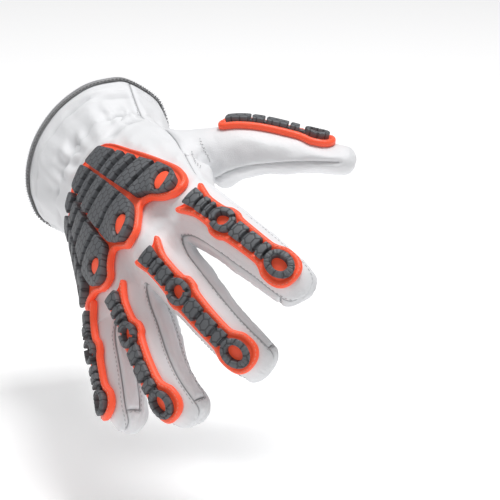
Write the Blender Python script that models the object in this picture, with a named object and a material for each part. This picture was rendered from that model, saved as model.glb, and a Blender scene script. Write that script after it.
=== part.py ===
# Impact glove, right hand. Built in millimetres in a hand frame (X distal, Y toward the thumb,
# Z out of the back of the hand) and set down in metres in the row frame at the end.
import bpy
import bmesh
import numpy as np
from mathutils import Vector
from mathutils.bvhtree import BVHTree

MM = 0.001
LEATHER = 1.7          # wall of the leather
SEAM_SHIFT = 0.27      # each panel stands back this far from a seam
CLEAR = 0.6            # under the rubber guards

# Row frame: the cuff opening's centre is the origin and the cuff points along -X
CUFF_AXIS = (0.976, 0.212, 0.057)
UP_HINT = (-0.210, 0.807, 0.561)
RIM_CENTRE = (-155.9, -18.7, -13.0)

# Finger joints: metacarpal start, knuckle, middle joint, end joint, tip; arch tilts the back of
# the finger outward (degrees); radii at knuckle, middle joint, end joint, near the tip
FINGERS = {
    "index": dict(path=[(-74, 17, -7), (0, 38.2, 1.8), (38.5, 47.7, -14.9), (62.4, 53.2, -26.2),
                        (82.5, 54.6, -44.6)],
                  arch=-20, radii=(16.0, 14.6, 13.4, 12.4)),
    "middle": dict(path=[(-74, 5, -3), (4, 10.6, 6.4), (45.5, 10.6, -15.5), (73.3, 10.6, -29.4),
                         (90.8, 10.5, -51.2)],
                   arch=-1, radii=(16.0, 14.6, 13.4, 12.4)),
    "ring": dict(path=[(-74, -8, -5), (-1, -16.6, 0.0), (39.5, -25.9, -14.6),
                       (66.7, -32.5, -22.0), (88.5, -36.1, -39.3)],
                 arch=9, radii=(15.5, 14.2, 13.0, 12.0)),
    "little": dict(path=[(-74, -20, -10), (-11, -37.0, -5.0), (18.8, -52.0, -12.9),
                         (36.6, -60.5, -18.9), (57.5, -71.5, -25.6)],
                   arch=23, radii=(14.0, 13.0, 12.0, 11.0)),
}
ORDER = ["index", "middle", "ring", "little"]
THUMB = dict(path=[(-74, 17, -14), (-54.4, 63.1, -33.4), (-41.8, 84.0, -60.0), (-32.4, 99.5, -89.3)],
             normal=(0.015, 0.385, 0.923), radii=(19.0, 16.5, 15.0, 13.6))
# How far the nail side of the thumb is turned from its normal, and how thin it is toward its tip
NAIL_TURN = 28
THUMB_THIN = dict(at=(50, 74, 94, 112), share=(1.0, 0.86, 0.66, 0.64))

# Palm and cuff rows, from the cuff edge forward: distance behind the knuckles, centre, half width
# toward the thumb, half width toward the little finger, half height on the back, half height on
# the palm side, exponent of the outline, share of the finger shape in it
ROWS = [
    dict(x=-156, y=-18.7, z=-13.0, wr=52, wu=52, hb=41, hp=41, m=2.0, even=1.0, mix=0.0),
    dict(x=-135, y=-14.2, z=-11.8, wr=47.5, wu=48.5, hb=37, hp=36.5, m=2.0, even=1.0, mix=0.0),
    dict(x=-113, y=-9.4, z=-10.5, wr=42.5, wu=45, hb=32.5, hp=31, m=2.1, even=0.9, mix=0.0),
    dict(x=-97, y=-5.9, z=-10.0, wr=43, wu=45, hb=31, hp=30, m=2.2, even=0.7, mix=0.0),
    dict(x=-81, y=-2.4, z=-9.5, wr=45.5, wu=46, hb=29.5, hp=29, m=2.3, even=0.4, mix=0.0),
    dict(x=-62, y=0.5, z=-8.6, wr=47.5, wu=49, hb=28.5, hp=28, m=2.4, even=0.15, mix=0.0),
    dict(x=-42, y=1.5, z=-7.0, wr=49, wu=51.5, hb=27, hp=25, m=2.5, even=0.0, mix=0.0),
    dict(x=-23, y=2.0, z=-5.0, wr=51, wu=52.5, hb=25, hp=21, m=2.6, even=0.0, mix=0.15),
    dict(x=-6, y=2.0, z=-3.5, wr=53, wu=52.5, hb=23.0, hp=18, m=2.7, even=0.0, mix=0.5),
    dict(x=8, y=2.0, z=-5.0, wr=55, wu=53.5, hb=20.0, hp=16.5, m=2.8, even=0.0, mix=0.85),
]
CROTCH = {"index": 20.0, "middle": 20.5, "ring": 21.0, "little": 19.0}   # along each finger, from its knuckle
WEB_DROP = {0: (7.5, 9.0), 1: (7.5, 9.0), 2: (7.0, 8.5)}   # web edge: below the finger top, above its front
FINGER_STEPS = {"index": (32, 45, 60, 76, 90), "middle": (33, 49, 66, 84, 99),
                "ring": (32, 46, 62, 78, 93), "little": (29, 40, 51, 63, 74)}
THUMB_ROWS = (4, 6)
THUMB_STEPS = (39, 55, 74, 94, 112.5)


def unit(v):
    v = np.asarray(v, float)
    return v / np.maximum(np.linalg.norm(v, axis=-1, keepdims=True), 1e-12)


def polyline_at(points, s):
    """A point on the polyline, s from its second point; it runs on straight past both ends."""
    points = np.asarray(points, float)
    steps = np.linalg.norm(np.diff(points, axis=0), axis=1)
    marks = np.concatenate([[0], np.cumsum(steps)]) - steps[0]
    k = int(np.clip(np.searchsorted(marks, s) - 1, 0, len(steps) - 1))
    return points[k] + (points[k + 1] - points[k]) * (s - marks[k]) / steps[k]


def path_length(points):
    points = np.asarray(points, float)
    return float(np.linalg.norm(np.diff(points, axis=0), axis=1)[1:].sum())


def path_frame(points, normal, s, blur=9.0):
    """Centre, direction, back normal and side (toward the thumb) of a smoothed polyline at s."""
    marks = np.linspace(-blur, blur, 7)
    centre = np.mean([polyline_at(points, s + m) for m in marks], axis=0)
    ahead = np.mean([polyline_at(points, s + m + 1.5) for m in marks], axis=0)
    behind = np.mean([polyline_at(points, s + m - 1.5) for m in marks], axis=0)
    along = unit(ahead - behind)
    side = unit(np.cross(normal, along))
    return centre, along, np.cross(along, side), side


def finger_normal(name):
    a = np.radians(FINGERS[name]["arch"])
    return np.array([0.0, -np.sin(a), np.cos(a)])


def finger_frame(name, s):
    return path_frame(FINGERS[name]["path"], finger_normal(name), s)


def finger_radius(name, s):
    path = np.asarray(FINGERS[name]["path"], float)
    steps = np.linalg.norm(np.diff(path, axis=0), axis=1)[1:]
    marks = np.concatenate([[0], np.cumsum(steps)])
    return float(np.interp(s, marks, FINGERS[name]["radii"]))


def nearest_on_path(points, q):
    best = None
    for s in np.arange(-30, path_length(points) + 5, 2.0):
        p = polyline_at(points, s)
        d = np.linalg.norm(p - q)
        if best is None or d < best[0]:
            best = (d, p, s)
    return best


RING_ANGLES = (66, 23, -23, -66, -114, -157, 157, 114)


def finger_ring(name, s, taper=1.0):
    """Eight points around a finger: thumb side, back pair, little-finger side, front pair."""
    centre, along, up, side = finger_frame(name, s)
    r = finger_radius(name, s) * taper
    k = ORDER.index(name)
    reach = {}
    for sign, other in ((1, k - 1), (-1, k + 1)):
        reach[sign] = r
        if 0 <= other < 4 and s > 0:
            d, p, so = nearest_on_path(FINGERS[ORDER[other]]["path"], centre)
            ro = finger_radius(ORDER[other], max(so, 0))
            reach[sign] = min(r, (d * r / (r + ro) - 0.9) / 0.94)
    ring = []
    for a in RING_ANGLES:
        t = np.radians(a)
        lateral = np.sin(t) * reach[1 if a > 0 else -1]
        ring.append(centre + side * lateral + up * np.cos(t) * r * (1.0 if abs(a) < 90 else 0.96))
    return ring


def crotch_rings():
    """The finger rings at the webs, with the two web points of each neighbouring pair shared."""
    rings = {name: finger_ring(name, CROTCH[name]) for name in ORDER}
    for w in range(3):
        a, b = rings[ORDER[w]], rings[ORDER[w + 1]]
        fa, fb = finger_frame(ORDER[w], CROTCH[ORDER[w]]), finger_frame(ORDER[w + 1], CROTCH[ORDER[w + 1]])
        middle = (fa[0] + fb[0]) / 2
        up = unit(fa[2] + fb[2])
        r = (finger_radius(ORDER[w], 20) + finger_radius(ORDER[w + 1], 20)) / 2
        top = middle + up * (r - WEB_DROP[w][0])
        low = middle - up * (r * 0.96 - WEB_DROP[w][1])
        a[3], b[0] = top, top
        a[4], b[7] = low, low
    return rings


def row_from_rings(rings):
    """The 26 points of the last palm row: 13 over the back from the thumb side, 13 back along the palm."""
    back = [rings["index"][0]]
    for name in ORDER:
        back += [rings[name][1], rings[name][2], rings[name][3]]
    palm = [rings["little"][4]]
    for name in reversed(ORDER):
        palm += [rings[name][5], rings[name][6], rings[name][7]]
    return back + palm


def palm_shares(last):
    """How far across the hand each of the 26 columns lies, from 1 (thumb side) to -1."""
    y = np.array([p[1] for p in last])
    shares = []
    for half in (y[:13], y[13:]):
        middle = (half.max() + half.min()) / 2
        shares.append((half - middle) / ((half.max() - half.min()) / 2) * 0.972)
    return np.concatenate(shares)


def palm_row(row, shares, rings_row):
    axis = unit(CUFF_AXIS)
    lean = np.clip((-row["x"] - 60) / 40, 0, 1)
    along = unit((1 - lean) * np.array([1.0, 0, 0]) + lean * axis)
    side = unit(np.cross((0, 0, 1), along))
    up = np.cross(along, side)
    centre = np.array([row["x"], row["y"], row["z"]], float)
    points = []
    for j in range(26):
        back = j < 13
        k = j if back else j - 13
        turn = np.radians(13.0 + k * (154.0 / 12))
        even_share = np.cos(turn) if back else -np.cos(turn)
        f = (1 - row["even"]) * shares[j] + row["even"] * even_share
        f = float(np.clip(f, -0.985, 0.985))
        w = row["wr"] if f > 0 else row["wu"]
        h = row["hb"] if back else -row["hp"]
        z = h * (1 - abs(f) ** row["m"]) ** (1 / row["m"])
        arch = (-7.0 if f > 0 else -5.0) * (f ** 2) * (1 - row["even"]) * (1 if back else 0.55)
        slope = 3.0 * f * (1 - row["even"])
        point = centre + side * (f * w) + up * (z + arch + slope)
        if row["mix"] > 0:
            point = (1 - row["mix"]) * point + row["mix"] * rings_row[j]
        points.append(point)
    return points


def knuckle_row(row, last):
    """What the finger rings would be at this row, so that the palm grows into the fingers."""
    rings = {}
    for name in ORDER:
        start = FINGERS[name]["path"][1]
        rings[name] = finger_ring(name, row["x"] - start[0])
    for w in range(3):
        a, b = rings[ORDER[w]], rings[ORDER[w + 1]]
        lift = unit(finger_normal(ORDER[w]) + finger_normal(ORDER[w + 1]))
        drop = np.interp(row["x"], (-23, 20), (3.0, 6.5))
        r = 15.5
        middle = (finger_frame(ORDER[w], row["x"] - FINGERS[ORDER[w]]["path"][1][0])[0]
                  + finger_frame(ORDER[w + 1], row["x"] - FINGERS[ORDER[w + 1]]["path"][1][0])[0]) / 2
        top = middle + lift * (r - drop)
        low = middle - lift * (r - drop)
        a[3], b[0] = top, top
        a[4], b[7] = low, low
    return row_from_rings(rings)


def thumb_frame(s):
    return path_frame(THUMB["path"], THUMB["normal"], s)


def nail_axes(up, side):
    """The thumb's nail direction and the direction across it."""
    a = np.radians(NAIL_TURN)
    return up * np.cos(a) + side * np.sin(a), side * np.cos(a) - up * np.sin(a)


def thumb_ring(s, taper=1.0):
    path = np.asarray(THUMB["path"], float)
    steps = np.linalg.norm(np.diff(path, axis=0), axis=1)
    marks = np.concatenate([[0], np.cumsum(steps)])
    r = float(np.interp(s, marks, THUMB["radii"])) * taper
    centre, along, up, side = thumb_frame(s - steps[0])
    wide = np.interp(s, (30, 60), (1.12, 1.0))
    nail, _ = nail_axes(up, side)
    thin = 1 - float(np.interp(s, THUMB_THIN["at"], THUMB_THIN["share"]))
    points = []
    for a in (45, 0, -45, -90, -135, 180, 135, 90):
        out = side * np.sin(np.radians(a)) * r * wide + up * np.cos(np.radians(a)) * r
        points.append(centre + out - nail * (out @ nail) * thin)
    return points


def tip_cap(add, ring, faces, tag_back, tag_front, centre, along, reach):
    """A small ring and three faces that round off a finger's end."""
    inner = []
    for i in ring:
        p = add.points[i]
        flat = p - along * np.dot(p - centre, along)
        inner.append(add(centre + (flat - centre) * 0.56 + along * reach))
    tags = [tag_back, tag_back, tag_back, tag_front, tag_front, tag_front, tag_front, tag_front]
    for k in range(8):
        faces.append(((ring[k], ring[(k + 1) % 8], inner[(k + 1) % 8], inner[k]), tags[k]))
    faces.append(((inner[3], inner[2], inner[1], inner[0]), tag_back))
    faces.append(((inner[4], inner[3], inner[0], inner[7]), tag_front))
    faces.append(((inner[5], inner[4], inner[7], inner[6]), tag_front))


class Points:
    def __init__(self):
        self.points = []

    def __call__(self, p):
        self.points.append(np.asarray(p, float))
        return len(self.points) - 1


def build_cage():
    """The points that the skin passes through, its faces, and the panel of each face."""
    add = Points()
    faces = []
    rings = crotch_rings()
    last = row_from_rings(rings)
    shares = palm_shares(last)
    rows = []
    for row in ROWS:
        blend = knuckle_row(row, last) if row["mix"] > 0 else None
        rows.append([add(p) for p in palm_row(row, shares, blend)])
    rows.append([add(p) for p in last])
    hole = {(THUMB_ROWS[0], 24), (THUMB_ROWS[0], 25), (THUMB_ROWS[0] + 1, 24), (THUMB_ROWS[0] + 1, 25)}
    for i in range(len(rows) - 1):
        for j in range(26):
            if (i, j) in hole:
                continue
            tag = "back_leather" if j < 12 else "palm_leather"
            k = (j + 1) % 26
            faces.append(((rows[i][j], rows[i][k], rows[i + 1][k], rows[i + 1][j]), tag))
    a = THUMB_ROWS[0]
    root = [rows[a][0], rows[a + 1][0], rows[a + 2][0], rows[a + 2][25], rows[a + 2][24],
            rows[a + 1][24], rows[a][24], rows[a][25]]
    before = root
    for s in THUMB_STEPS:
        taper = 0.93 if s == THUMB_STEPS[-1] else 1.0
        now = [add(p) for p in thumb_ring(s, taper)]
        for k in range(8):
            faces.append(((before[k], before[(k + 1) % 8], now[(k + 1) % 8], now[k]), "thumb_leather"))
        before = now
    centre, along, up, side = thumb_frame(THUMB_STEPS[-1] - 53.7)
    tip_cap(add, before, faces, "thumb_leather", "thumb_leather", centre, along, 7.5)
    back = rows[-1][:13]
    palm = rows[-1][13:]
    for k, name in enumerate(ORDER):
        ring = [back[3 * k], back[3 * k + 1], back[3 * k + 2], back[3 * k + 3],
                palm[12 - 3 * k - 3], palm[12 - 3 * k - 2], palm[12 - 3 * k - 1], palm[12 - 3 * k]]
        front = {"middle": "middle_front", "ring": "ring_front"}.get(name, "palm_leather")
        sides = {0: "palm_leather", 1: "fourchette_index_middle", 2: "fourchette_middle_ring",
                 3: "fourchette_ring_little", 4: "palm_leather"}
        tags = ["back_leather"] * 3 + [sides[k + 1]] + [front] * 3 + [sides[k]]
        steps = FINGER_STEPS[name]
        for s in steps:
            taper = 0.95 if s == steps[-1] else 1.0
            now = [add(p) for p in finger_ring(name, s, taper)]
            for c in range(8):
                faces.append(((ring[c], ring[(c + 1) % 8], now[(c + 1) % 8], now[c]), tags[c]))
            ring = now
        centre, along, up, side = finger_frame(name, steps[-1])
        tip_cap(add, ring, faces, "back_leather", front, centre, along, 6.6)
    used = sorted({i for face, _ in faces for i in face})
    index = {old: new for new, old in enumerate(used)}
    points = np.array([add.points[i] for i in used])
    return points, [tuple(index[i] for i in face) for face, _ in faces], [tag for _, tag in faces]


def subdivided(points, faces, tags, names, level):
    """Vertices, quads, panel numbers and vertex normals of the smooth skin at this level."""
    mesh = bpy.data.meshes.new("skin")
    mesh.from_pydata([tuple(p) for p in points], [], [list(f) for f in faces])
    mesh.polygons.foreach_set("material_index", [names.index(t) for t in tags])
    for _ in names:
        mesh.materials.append(None)
    obj = bpy.data.objects.new("skin", mesh)
    bpy.context.scene.collection.objects.link(obj)
    modifier = obj.modifiers.new("skin", "SUBSURF")
    modifier.levels = level
    modifier.render_levels = level
    modifier.use_limit_surface = True
    modifier.boundary_smooth = "ALL"
    graph = bpy.context.evaluated_depsgraph_get()
    graph.update()
    out = obj.evaluated_get(graph).to_mesh()
    verts = np.empty(len(out.vertices) * 3)
    out.vertices.foreach_get("co", verts)
    normals = np.empty(len(out.vertices) * 3)
    out.vertices.foreach_get("normal", normals)
    quads = [tuple(p.vertices) for p in out.polygons]
    panels = np.empty(len(out.polygons), int)
    out.polygons.foreach_get("material_index", panels)
    edges = [tuple(e.vertices) for e in mesh.edges]
    obj.evaluated_get(graph).to_mesh_clear()
    bpy.data.objects.remove(obj)
    bpy.data.meshes.remove(mesh)
    return verts.reshape(-1, 3), quads, panels, normals.reshape(-1, 3), edges


def fitted_cage(points, faces, tags, names):
    """Moves the cage until the smooth skin passes through the design points."""
    cage = points.copy()
    for _ in range(4):
        verts = subdivided(cage, faces, tags, names, 1)[0]
        cage += 0.85 * (points - verts[: len(points)])
    return cage


def check_facing(faces, points):
    """Turns all faces the same way, outward."""
    bm = bmesh.new()
    verts = [bm.verts.new(tuple(p)) for p in points]
    for f in faces:
        bm.faces.new([verts[i] for i in f])
    bmesh.ops.recalc_face_normals(bm, faces=bm.faces)
    bm.verts.index_update()
    bm.faces.index_update()
    top = max(bm.faces, key=lambda f: f.calc_center_median().z)
    flip = top.normal.z < 0
    out = []
    for f in bm.faces:
        loop = [v.index for v in f.verts]
        out.append(tuple(reversed(loop)) if flip else tuple(loop))
    bm.free()
    return out


# Look of each material: colour, roughness
MATERIALS = {
    "leather": ((0.80, 0.81, 0.83), 0.55),
    "binding": ((0.22, 0.23, 0.25), 0.8),
    "guard_red": ((1.0, 0.07, 0.03), 0.45),
    "guard_grey": ((0.09, 0.095, 0.105), 0.6),
}


def material_of(name):
    if name == "cuff_binding":
        slot = "binding"
    elif name.endswith("guard_base"):
        slot = "guard_red"
    elif name.endswith("tread") or name.startswith("knuckle_lobe"):
        slot = "guard_grey"
    else:
        slot = "leather"
    found = bpy.data.materials.get(slot)
    if found is None:
        colour, roughness = MATERIALS[slot]
        found = bpy.data.materials.new(slot)
        found.use_nodes = True
        shader = found.node_tree.nodes["Principled BSDF"]
        shader.inputs["Base Color"].default_value = (*colour, 1.0)
        shader.inputs["Roughness"].default_value = roughness
    return found


def make_object(name, points, faces):
    mesh = bpy.data.meshes.new(name)
    mesh.from_pydata([tuple(p) for p in points], [], [list(f) for f in faces])
    mesh.validate()
    mesh.materials.append(material_of(name))
    obj = bpy.data.objects.new(name, mesh)
    bpy.context.scene.collection.objects.link(obj)
    return obj


def to_row(points):
    x = unit(CUFF_AXIS)
    z = np.asarray(UP_HINT, float)
    z = unit(z - x * np.dot(z, x))
    y = np.cross(z, x)
    local = np.asarray(points, float) - np.asarray(RIM_CENTRE)
    return np.stack([local @ x, local @ y, local @ z], axis=1) * MM


def leather_panel(name, number, cage_faces, cage_tags, cage_edges,
                  verts, quads, panels, normals, fine_normals):
    """One leather panel: fine outside, coarse inside, closed along its edges."""
    count = len(fine_normals)
    mine = [q for q, p in zip(quads, panels) if p == number]
    coarse = [f for f, t in zip(cage_faces, cage_tags) if t == name]
    uses = {}
    for q in mine:
        for a, b in zip(q, q[1:] + q[:1]):
            uses[(a, b)] = uses.get((a, b), 0) + 1
    border = [(a, b) for (a, b) in uses if (b, a) not in uses]
    shift = {}
    touching = {i for e in border for i in e}
    for i in touching:
        around = [np.mean(verts[list(q)], axis=0) for q in mine if i in q]
        ends = [np.array(verts[b if a == i else a]) for a, b in border if i in (a, b)]
        inward = np.mean(around, axis=0) - verts[i]
        n = normals[i]
        inward = inward - n * np.dot(inward, n)
        if len(ends) == 2:
            tangent = unit(ends[1] - ends[0])
            if abs(np.dot(unit(ends[0] - verts[i]), unit(ends[1] - verts[i]))) > 0.75:
                inward = inward - tangent * np.dot(inward, tangent)
        shift[i] = unit(inward) * SEAM_SHIFT
    used = sorted({i for q in mine for i in q})
    outer = {old: k for k, old in enumerate(used)}
    points = [verts[i] + shift.get(i, 0) for i in used]
    inner = {}
    for i in sorted({i for f in coarse for i in f}):
        inner[i] = len(points)
        points.append(verts[i] - LEATHER * fine_normals[i] + shift.get(i, 0))
    faces = [tuple(outer[i] for i in q) for q in mine]
    faces += [tuple(inner[i] for i in reversed(f)) for f in coarse]
    follow = {a: b for a, b in border}
    middle = {}
    for e, (a, b) in enumerate(cage_edges):
        middle[count + e] = (a, b)
    for a, b in border:
        if a in inner and b in middle:
            c = [v for v in middle[b] if v != a][0]
            if follow.get(b) != c:
                raise ValueError("edge order")
            faces.append((outer[b], outer[a], inner[a]))
            faces.append((outer[c], outer[b], inner[c]))
            faces.append((outer[b], inner[a], inner[c]))
    return points, faces


def clear_scene():
    for obj in list(bpy.data.objects):
        bpy.data.objects.remove(obj)
    for mesh in list(bpy.data.meshes):
        bpy.data.meshes.remove(mesh)


# Finger guards: where the strip starts, its middle ring and its end ring, along the finger from
# the knuckle, and the strip's width against the index finger's
STRIPS = {
    "index": dict(start=13.9, middle=42.4, end=80.0, wide=1.0),
    "middle": dict(start=13.5, middle=46.6, end=88.3, wide=1.0),
    "ring": dict(start=13.3, middle=42.7, end=83.7, wide=0.96),
    "little": dict(start=9.5, middle=34.4, end=65.0, wide=0.86),
}
THUMB_STRIP = dict(start=-4.0, end=43.5, wide=0.92)   # from the thumb's knuckle
BASE_FLOOR = 1.2
BASE_EDGE = 1.7
BEAD_TOP = 3.0
TREAD_LOW = 2.0
TREAD_WEB = 2.9
TREAD_TOP = 5.4
LOBE_TOP = 6.2
RING_MIDDLE = (8.2, 5.5)
RING_END = (8.0, 5.6)
RING_HOLE = (4.5, 2.9)
SPAN_FROM = 9.6
SPAN_TO = -8.9

# Half outline of a finger guard: distance from the start (S), middle ring (M) or end ring (E), half width
# and how much border bead there is
BASE_OUTLINE = [
    ("S", 1.5, 0.0, 0), ("S", 0.0, 4.8, 0), ("S", -3.5, 8.0, 0.9), ("S", -1.5, 10.2, 1), ("S", 4.0, 8.6, 1),
    ("S", 11.0, 6.9, 1), ("M", -7.5, 7.0, 1), ("M", -3.0, 9.0, 1), ("M", 3.0, 9.1, 1), ("M", 8.5, 7.6, 1),
    ("E", -14.0, 6.9, 1), ("E", -8.5, 7.7, 1), ("E", -3.5, 10.0, 1), ("E", 3.5, 10.1, 1), ("E", 8.4, 7.8, 1),
    ("E", 11.2, 3.2, 1)]
THUMB_OUTLINE = [
    ("S", -3.5, 2.5, 0.6), ("S", -1.0, 6.2, 1), ("S", 8.0, 7.4, 1), ("E", -17.0, 7.4, 1), ("E", -9.5, 8.2, 1),
    ("E", -4.0, 10.4, 1), ("E", 4.0, 10.6, 1), ("E", 9.4, 8.2, 1), ("E", 12.4, 3.4, 1)]
# Blocks of a tread: from, to, half width at each end; B is the share of the way between the two rings
BLOCKS = [("S", 1.4, "S", 8.8, 4.2, 3.4), ("S", 10.6, "S", 14.6, 3.7, 3.8), ("S", 16.4, "M", -9.6, 3.8, 3.7),
          ("B", 0.0, "B", 0.31, 3.8, 3.7), ("B", 0.4, "B", 0.73, 3.7, 3.7), ("B", 0.82, "B", 1.0, 3.7, 3.7)]
THUMB_BLOCKS = [("S", 2.0, "S", 15.0, 3.4, 4.0), ("S", 16.6, "S", 23.0, 4.0, 4.0),
                ("S", 24.6, "E", -17.0, 4.0, 4.0), ("E", -15.4, "E", -10.4, 4.0, 4.0)]

# Knuckle guard, on a map of the back of the hand: forward, toward the thumb, and how much border bead
GUARD_OUTLINE = [
    (-87, 15.5, 0.2), (-60, 29.5, 0.5), (-38, 40.5, 0.8), (-20, 48.5, 1), (-6, 53, 1), (4, 54.5, 1),
    (10, 51.5, 1),
    (9.5, 45, 1), (3, 36.5, 1), (-4.5, 29, 1), (-5, 23.5, 1), (3, 20.6, 1), (11, 17, 1),
    (14, 11.5, 1), (11.5, 5, 1),
    (3, -1.5, 1), (-2, -7.5, 1), (3, -13.5, 1), (9.5, -18, 1), (10.5, -23.5, 1), (6, -29.5, 1),
    (-1, -35.5, 1),
    (-3, -42.5, 1), (-5.5, -50, 1), (-13, -56.5, 1), (-26, -58, 1), (-46, -52.5, 0.8), (-78, -43, 0.2),
    (-81, -28, 0.1), (-86, -21, 0.1), (-91, -10, 0.1), (-90, 1, 0.1)]
# Each lobe's outline, its hole's middle and size, where its grooves cross its middle and how they lean
LOBES = {
    "knuckle_lobe_index": dict(
        edge=[(-84.5, 12.5), (-60, 24), (-40, 33), (-22, 42), (-8, 47.4), (1.5, 49.6), (5.8, 47.4),
              (4.4, 43), (-1, 36.4),
              (-8.4, 30), (-12, 22.5), (-45, 12.2), (-84.5, 0.4)],
        hole=(-5.5, 41.2, 6.2, 4.1), cuts=(-66, -54, -41, -23), lean=-0.2),
    "knuckle_lobe_middle": dict(
        edge=[(-86.5, -2.2), (-46, 10), (-20, 17), (-8.5, 19.4), (1, 17.2), (8, 14.4), (9.9, 10.8),
              (7.4, 6.2), (-1, 0.5),
              (-6.8, -5.4), (-39, -10.6), (-58, -13.4), (-82, -14.8)],
        hole=(-0.9, 10.0, 6.0, 3.9), cuts=(-72, -60, -44.5, -22.5), lean=-0.12),
    "knuckle_lobe_ring": dict(
        edge=[(-82, -17.4), (-58, -16.0), (-39, -13.2), (-8, -8.4), (-0.5, -15.6), (5.6, -20.2),
              (6.1, -23.2), (2.8, -27.2),
              (-3.4, -32.2), (-12, -33.2), (-45, -29.2), (-80, -26.6)],
        hole=(-4.6, -20.8, 5.0, 3.7), cuts=(-71, -58, -42, -22), lean=-0.05),
    "knuckle_lobe_little": dict(
        edge=[(-77, -29.2), (-45, -31.8), (-13, -35.8), (-8, -41), (-9, -49), (-15.5, -53),
              (-27, -54), (-46, -48.6),
              (-75, -39.4)],
        hole=(-17.5, -45.5, 4.4, 3.7), cuts=(-65, -53, -41, -28), lean=0.05),
}


class Chart:
    """A flat map of the skin: distance forward and distance toward the thumb give a point and a normal."""

    def __init__(self, stations, frames, bvh, half, angles, step=2.0, clear=CLEAR):
        self.clear = clear
        rows = []
        for centre, up, side in frames:
            hits = []
            for a in angles:
                t = np.radians(a)
                ray = up * np.cos(t) + side * np.sin(t)
                hit = bvh.ray_cast(Vector(centre), Vector(ray), 90.0)[0]
                hits.append(np.array(hit) if hit is not None else np.full(3, np.nan))
            hits = np.array(hits)
            good = ~np.isnan(hits[:, 0])
            hits = hits[good]
            arcs = np.concatenate([[0], np.cumsum(np.linalg.norm(np.diff(hits, axis=0), axis=1))])
            arcs -= np.interp(0.0, np.asarray(angles)[good], arcs)
            self.us = np.arange(-half, half + 0.01, step)
            rows.append(np.stack([np.interp(self.us, arcs, hits[:, k]) for k in range(3)], axis=1))
        rows = np.array(rows)
        middle = rows[:, len(self.us) // 2]
        run = np.concatenate([[0], np.cumsum(np.linalg.norm(np.diff(middle, axis=0), axis=1))])
        self.stations = np.asarray(stations, float)
        self.run = run
        self.vs = np.arange(0, run[-1], step)
        flat = rows.reshape(len(rows), -1)
        even = np.stack([np.interp(self.vs, run, flat[:, k]) for k in range(flat.shape[1])], axis=1)
        self.points = even.reshape(len(self.vs), len(self.us), 3)
        dv = np.gradient(self.points, axis=0)
        du = np.gradient(self.points, axis=1)
        normal = np.cross(dv, du)
        for _ in range(2):
            padded = np.pad(normal, ((1, 1), (1, 1), (0, 0)), mode="edge")
            around = padded[:-2, 1:-1] + padded[2:, 1:-1] + padded[1:-1, :-2] + padded[1:-1, 2:]
            normal = (around + 2 * normal) / 6
        self.normals = unit(normal)

    def along(self, station):
        return float(np.interp(station, self.stations, self.run))

    def at(self, v, u, h):
        v = np.clip((v - self.vs[0]) / (self.vs[1] - self.vs[0]), 0, len(self.vs) - 1.001)
        u = np.clip((u - self.us[0]) / (self.us[1] - self.us[0]), 0, len(self.us) - 1.001)
        i, j = int(v), int(u)
        a, b = v - i, u - j
        out = []
        for grid in (self.points, self.normals):
            low = grid[i, j] * (1 - b) + grid[i, j + 1] * b
            high = grid[i + 1, j] * (1 - b) + grid[i + 1, j + 1] * b
            out.append(low * (1 - a) + high * a)
        return out[0] + unit(out[1]) * (h + self.clear)


def finger_chart(name, bvh):
    stations = np.arange(-2, path_length(FINGERS[name]["path"]) + 1.0, 2.0)
    frames = []
    for s in stations:
        centre, along, up, side = finger_frame(name, min(s, path_length(FINGERS[name]["path"]) - 7))
        lean = np.radians(max(0.0, s - (path_length(FINGERS[name]["path"]) - 7)) * 6.0)
        frames.append((centre, unit(up * np.cos(lean) + along * np.sin(lean)), side))
    return Chart(stations, frames, bvh, 18.0, range(-105, 106, 7), clear=0.95 if name == "little" else CLEAR)


def thumb_chart(bvh):
    stations = np.arange(-14, 68.0, 2.0)
    frames = []
    for s in stations:
        centre, along, up, side = thumb_frame(min(s, 58.0))
        up, side = nail_axes(up, side)
        lean = np.radians(max(0.0, s - 58.0) * 6.0)
        frames.append((centre, unit(up * np.cos(lean) + along * np.sin(lean)), side))
    return Chart(stations, frames, bvh, 18.0, range(-105, 106, 7))


def palm_chart(bvh):
    stations = np.arange(-100, 18.1, 3.0)
    depth = np.interp(stations, (-30, 6), (-16, 3.5))
    frames = [(np.array([s, 0.0, z]), np.array([0, 0, 1.0]), np.array([0, 1.0, 0]))
              for s, z in zip(stations, depth)]
    return Chart(stations, frames, bvh, 66.0, range(-116, 117, 4), step=3.0, clear=1.1)


def inset(loop, distance):
    """The closed outline moved inward; distance may differ from point to point."""
    loop = np.asarray(loop, float)
    before = loop - np.roll(loop, 1, axis=0)
    after = np.roll(loop, -1, axis=0) - loop
    n1 = unit(np.stack([-before[:, 1], before[:, 0]], axis=1))
    n2 = unit(np.stack([-after[:, 1], after[:, 0]], axis=1))
    miter = unit(n1 + n2)
    stretch = 1 / np.clip((miter * n1).sum(axis=1), 0.6, 1)
    return loop + miter * (np.asarray(distance) * stretch)[:, None]


def anticlockwise(loop):
    loop = np.asarray(loop, float)
    x, y = loop[:, 0], loop[:, 1]
    area = (x * np.roll(y, -1) - np.roll(x, -1) * y).sum()
    return loop if area > 0 else loop[::-1]


def flat_plate(bm, loops, heights):
    """A closed plate: the first loop is its underside, the last its top."""
    rings = []
    for loop, h in zip(loops, heights):
        h = np.broadcast_to(h, (len(loop),))
        rings.append([bm.verts.new((p[0], p[1], z)) for p, z in zip(loop, h)])
    bm.faces.new(list(reversed(rings[0])))
    for low, high in zip(rings, rings[1:]):
        for k in range(len(low)):
            n = (k + 1) % len(low)
            bm.faces.new((low[k], low[n], high[n], high[k]))
    bm.faces.new(rings[-1])


def plate_object(name, loops, heights):
    bm = bmesh.new()
    flat_plate(bm, loops, heights)
    mesh = bpy.data.meshes.new(name)
    bm.to_mesh(mesh)
    bm.free()
    obj = bpy.data.objects.new(name, mesh)
    bpy.context.scene.collection.objects.link(obj)
    return obj


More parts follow.
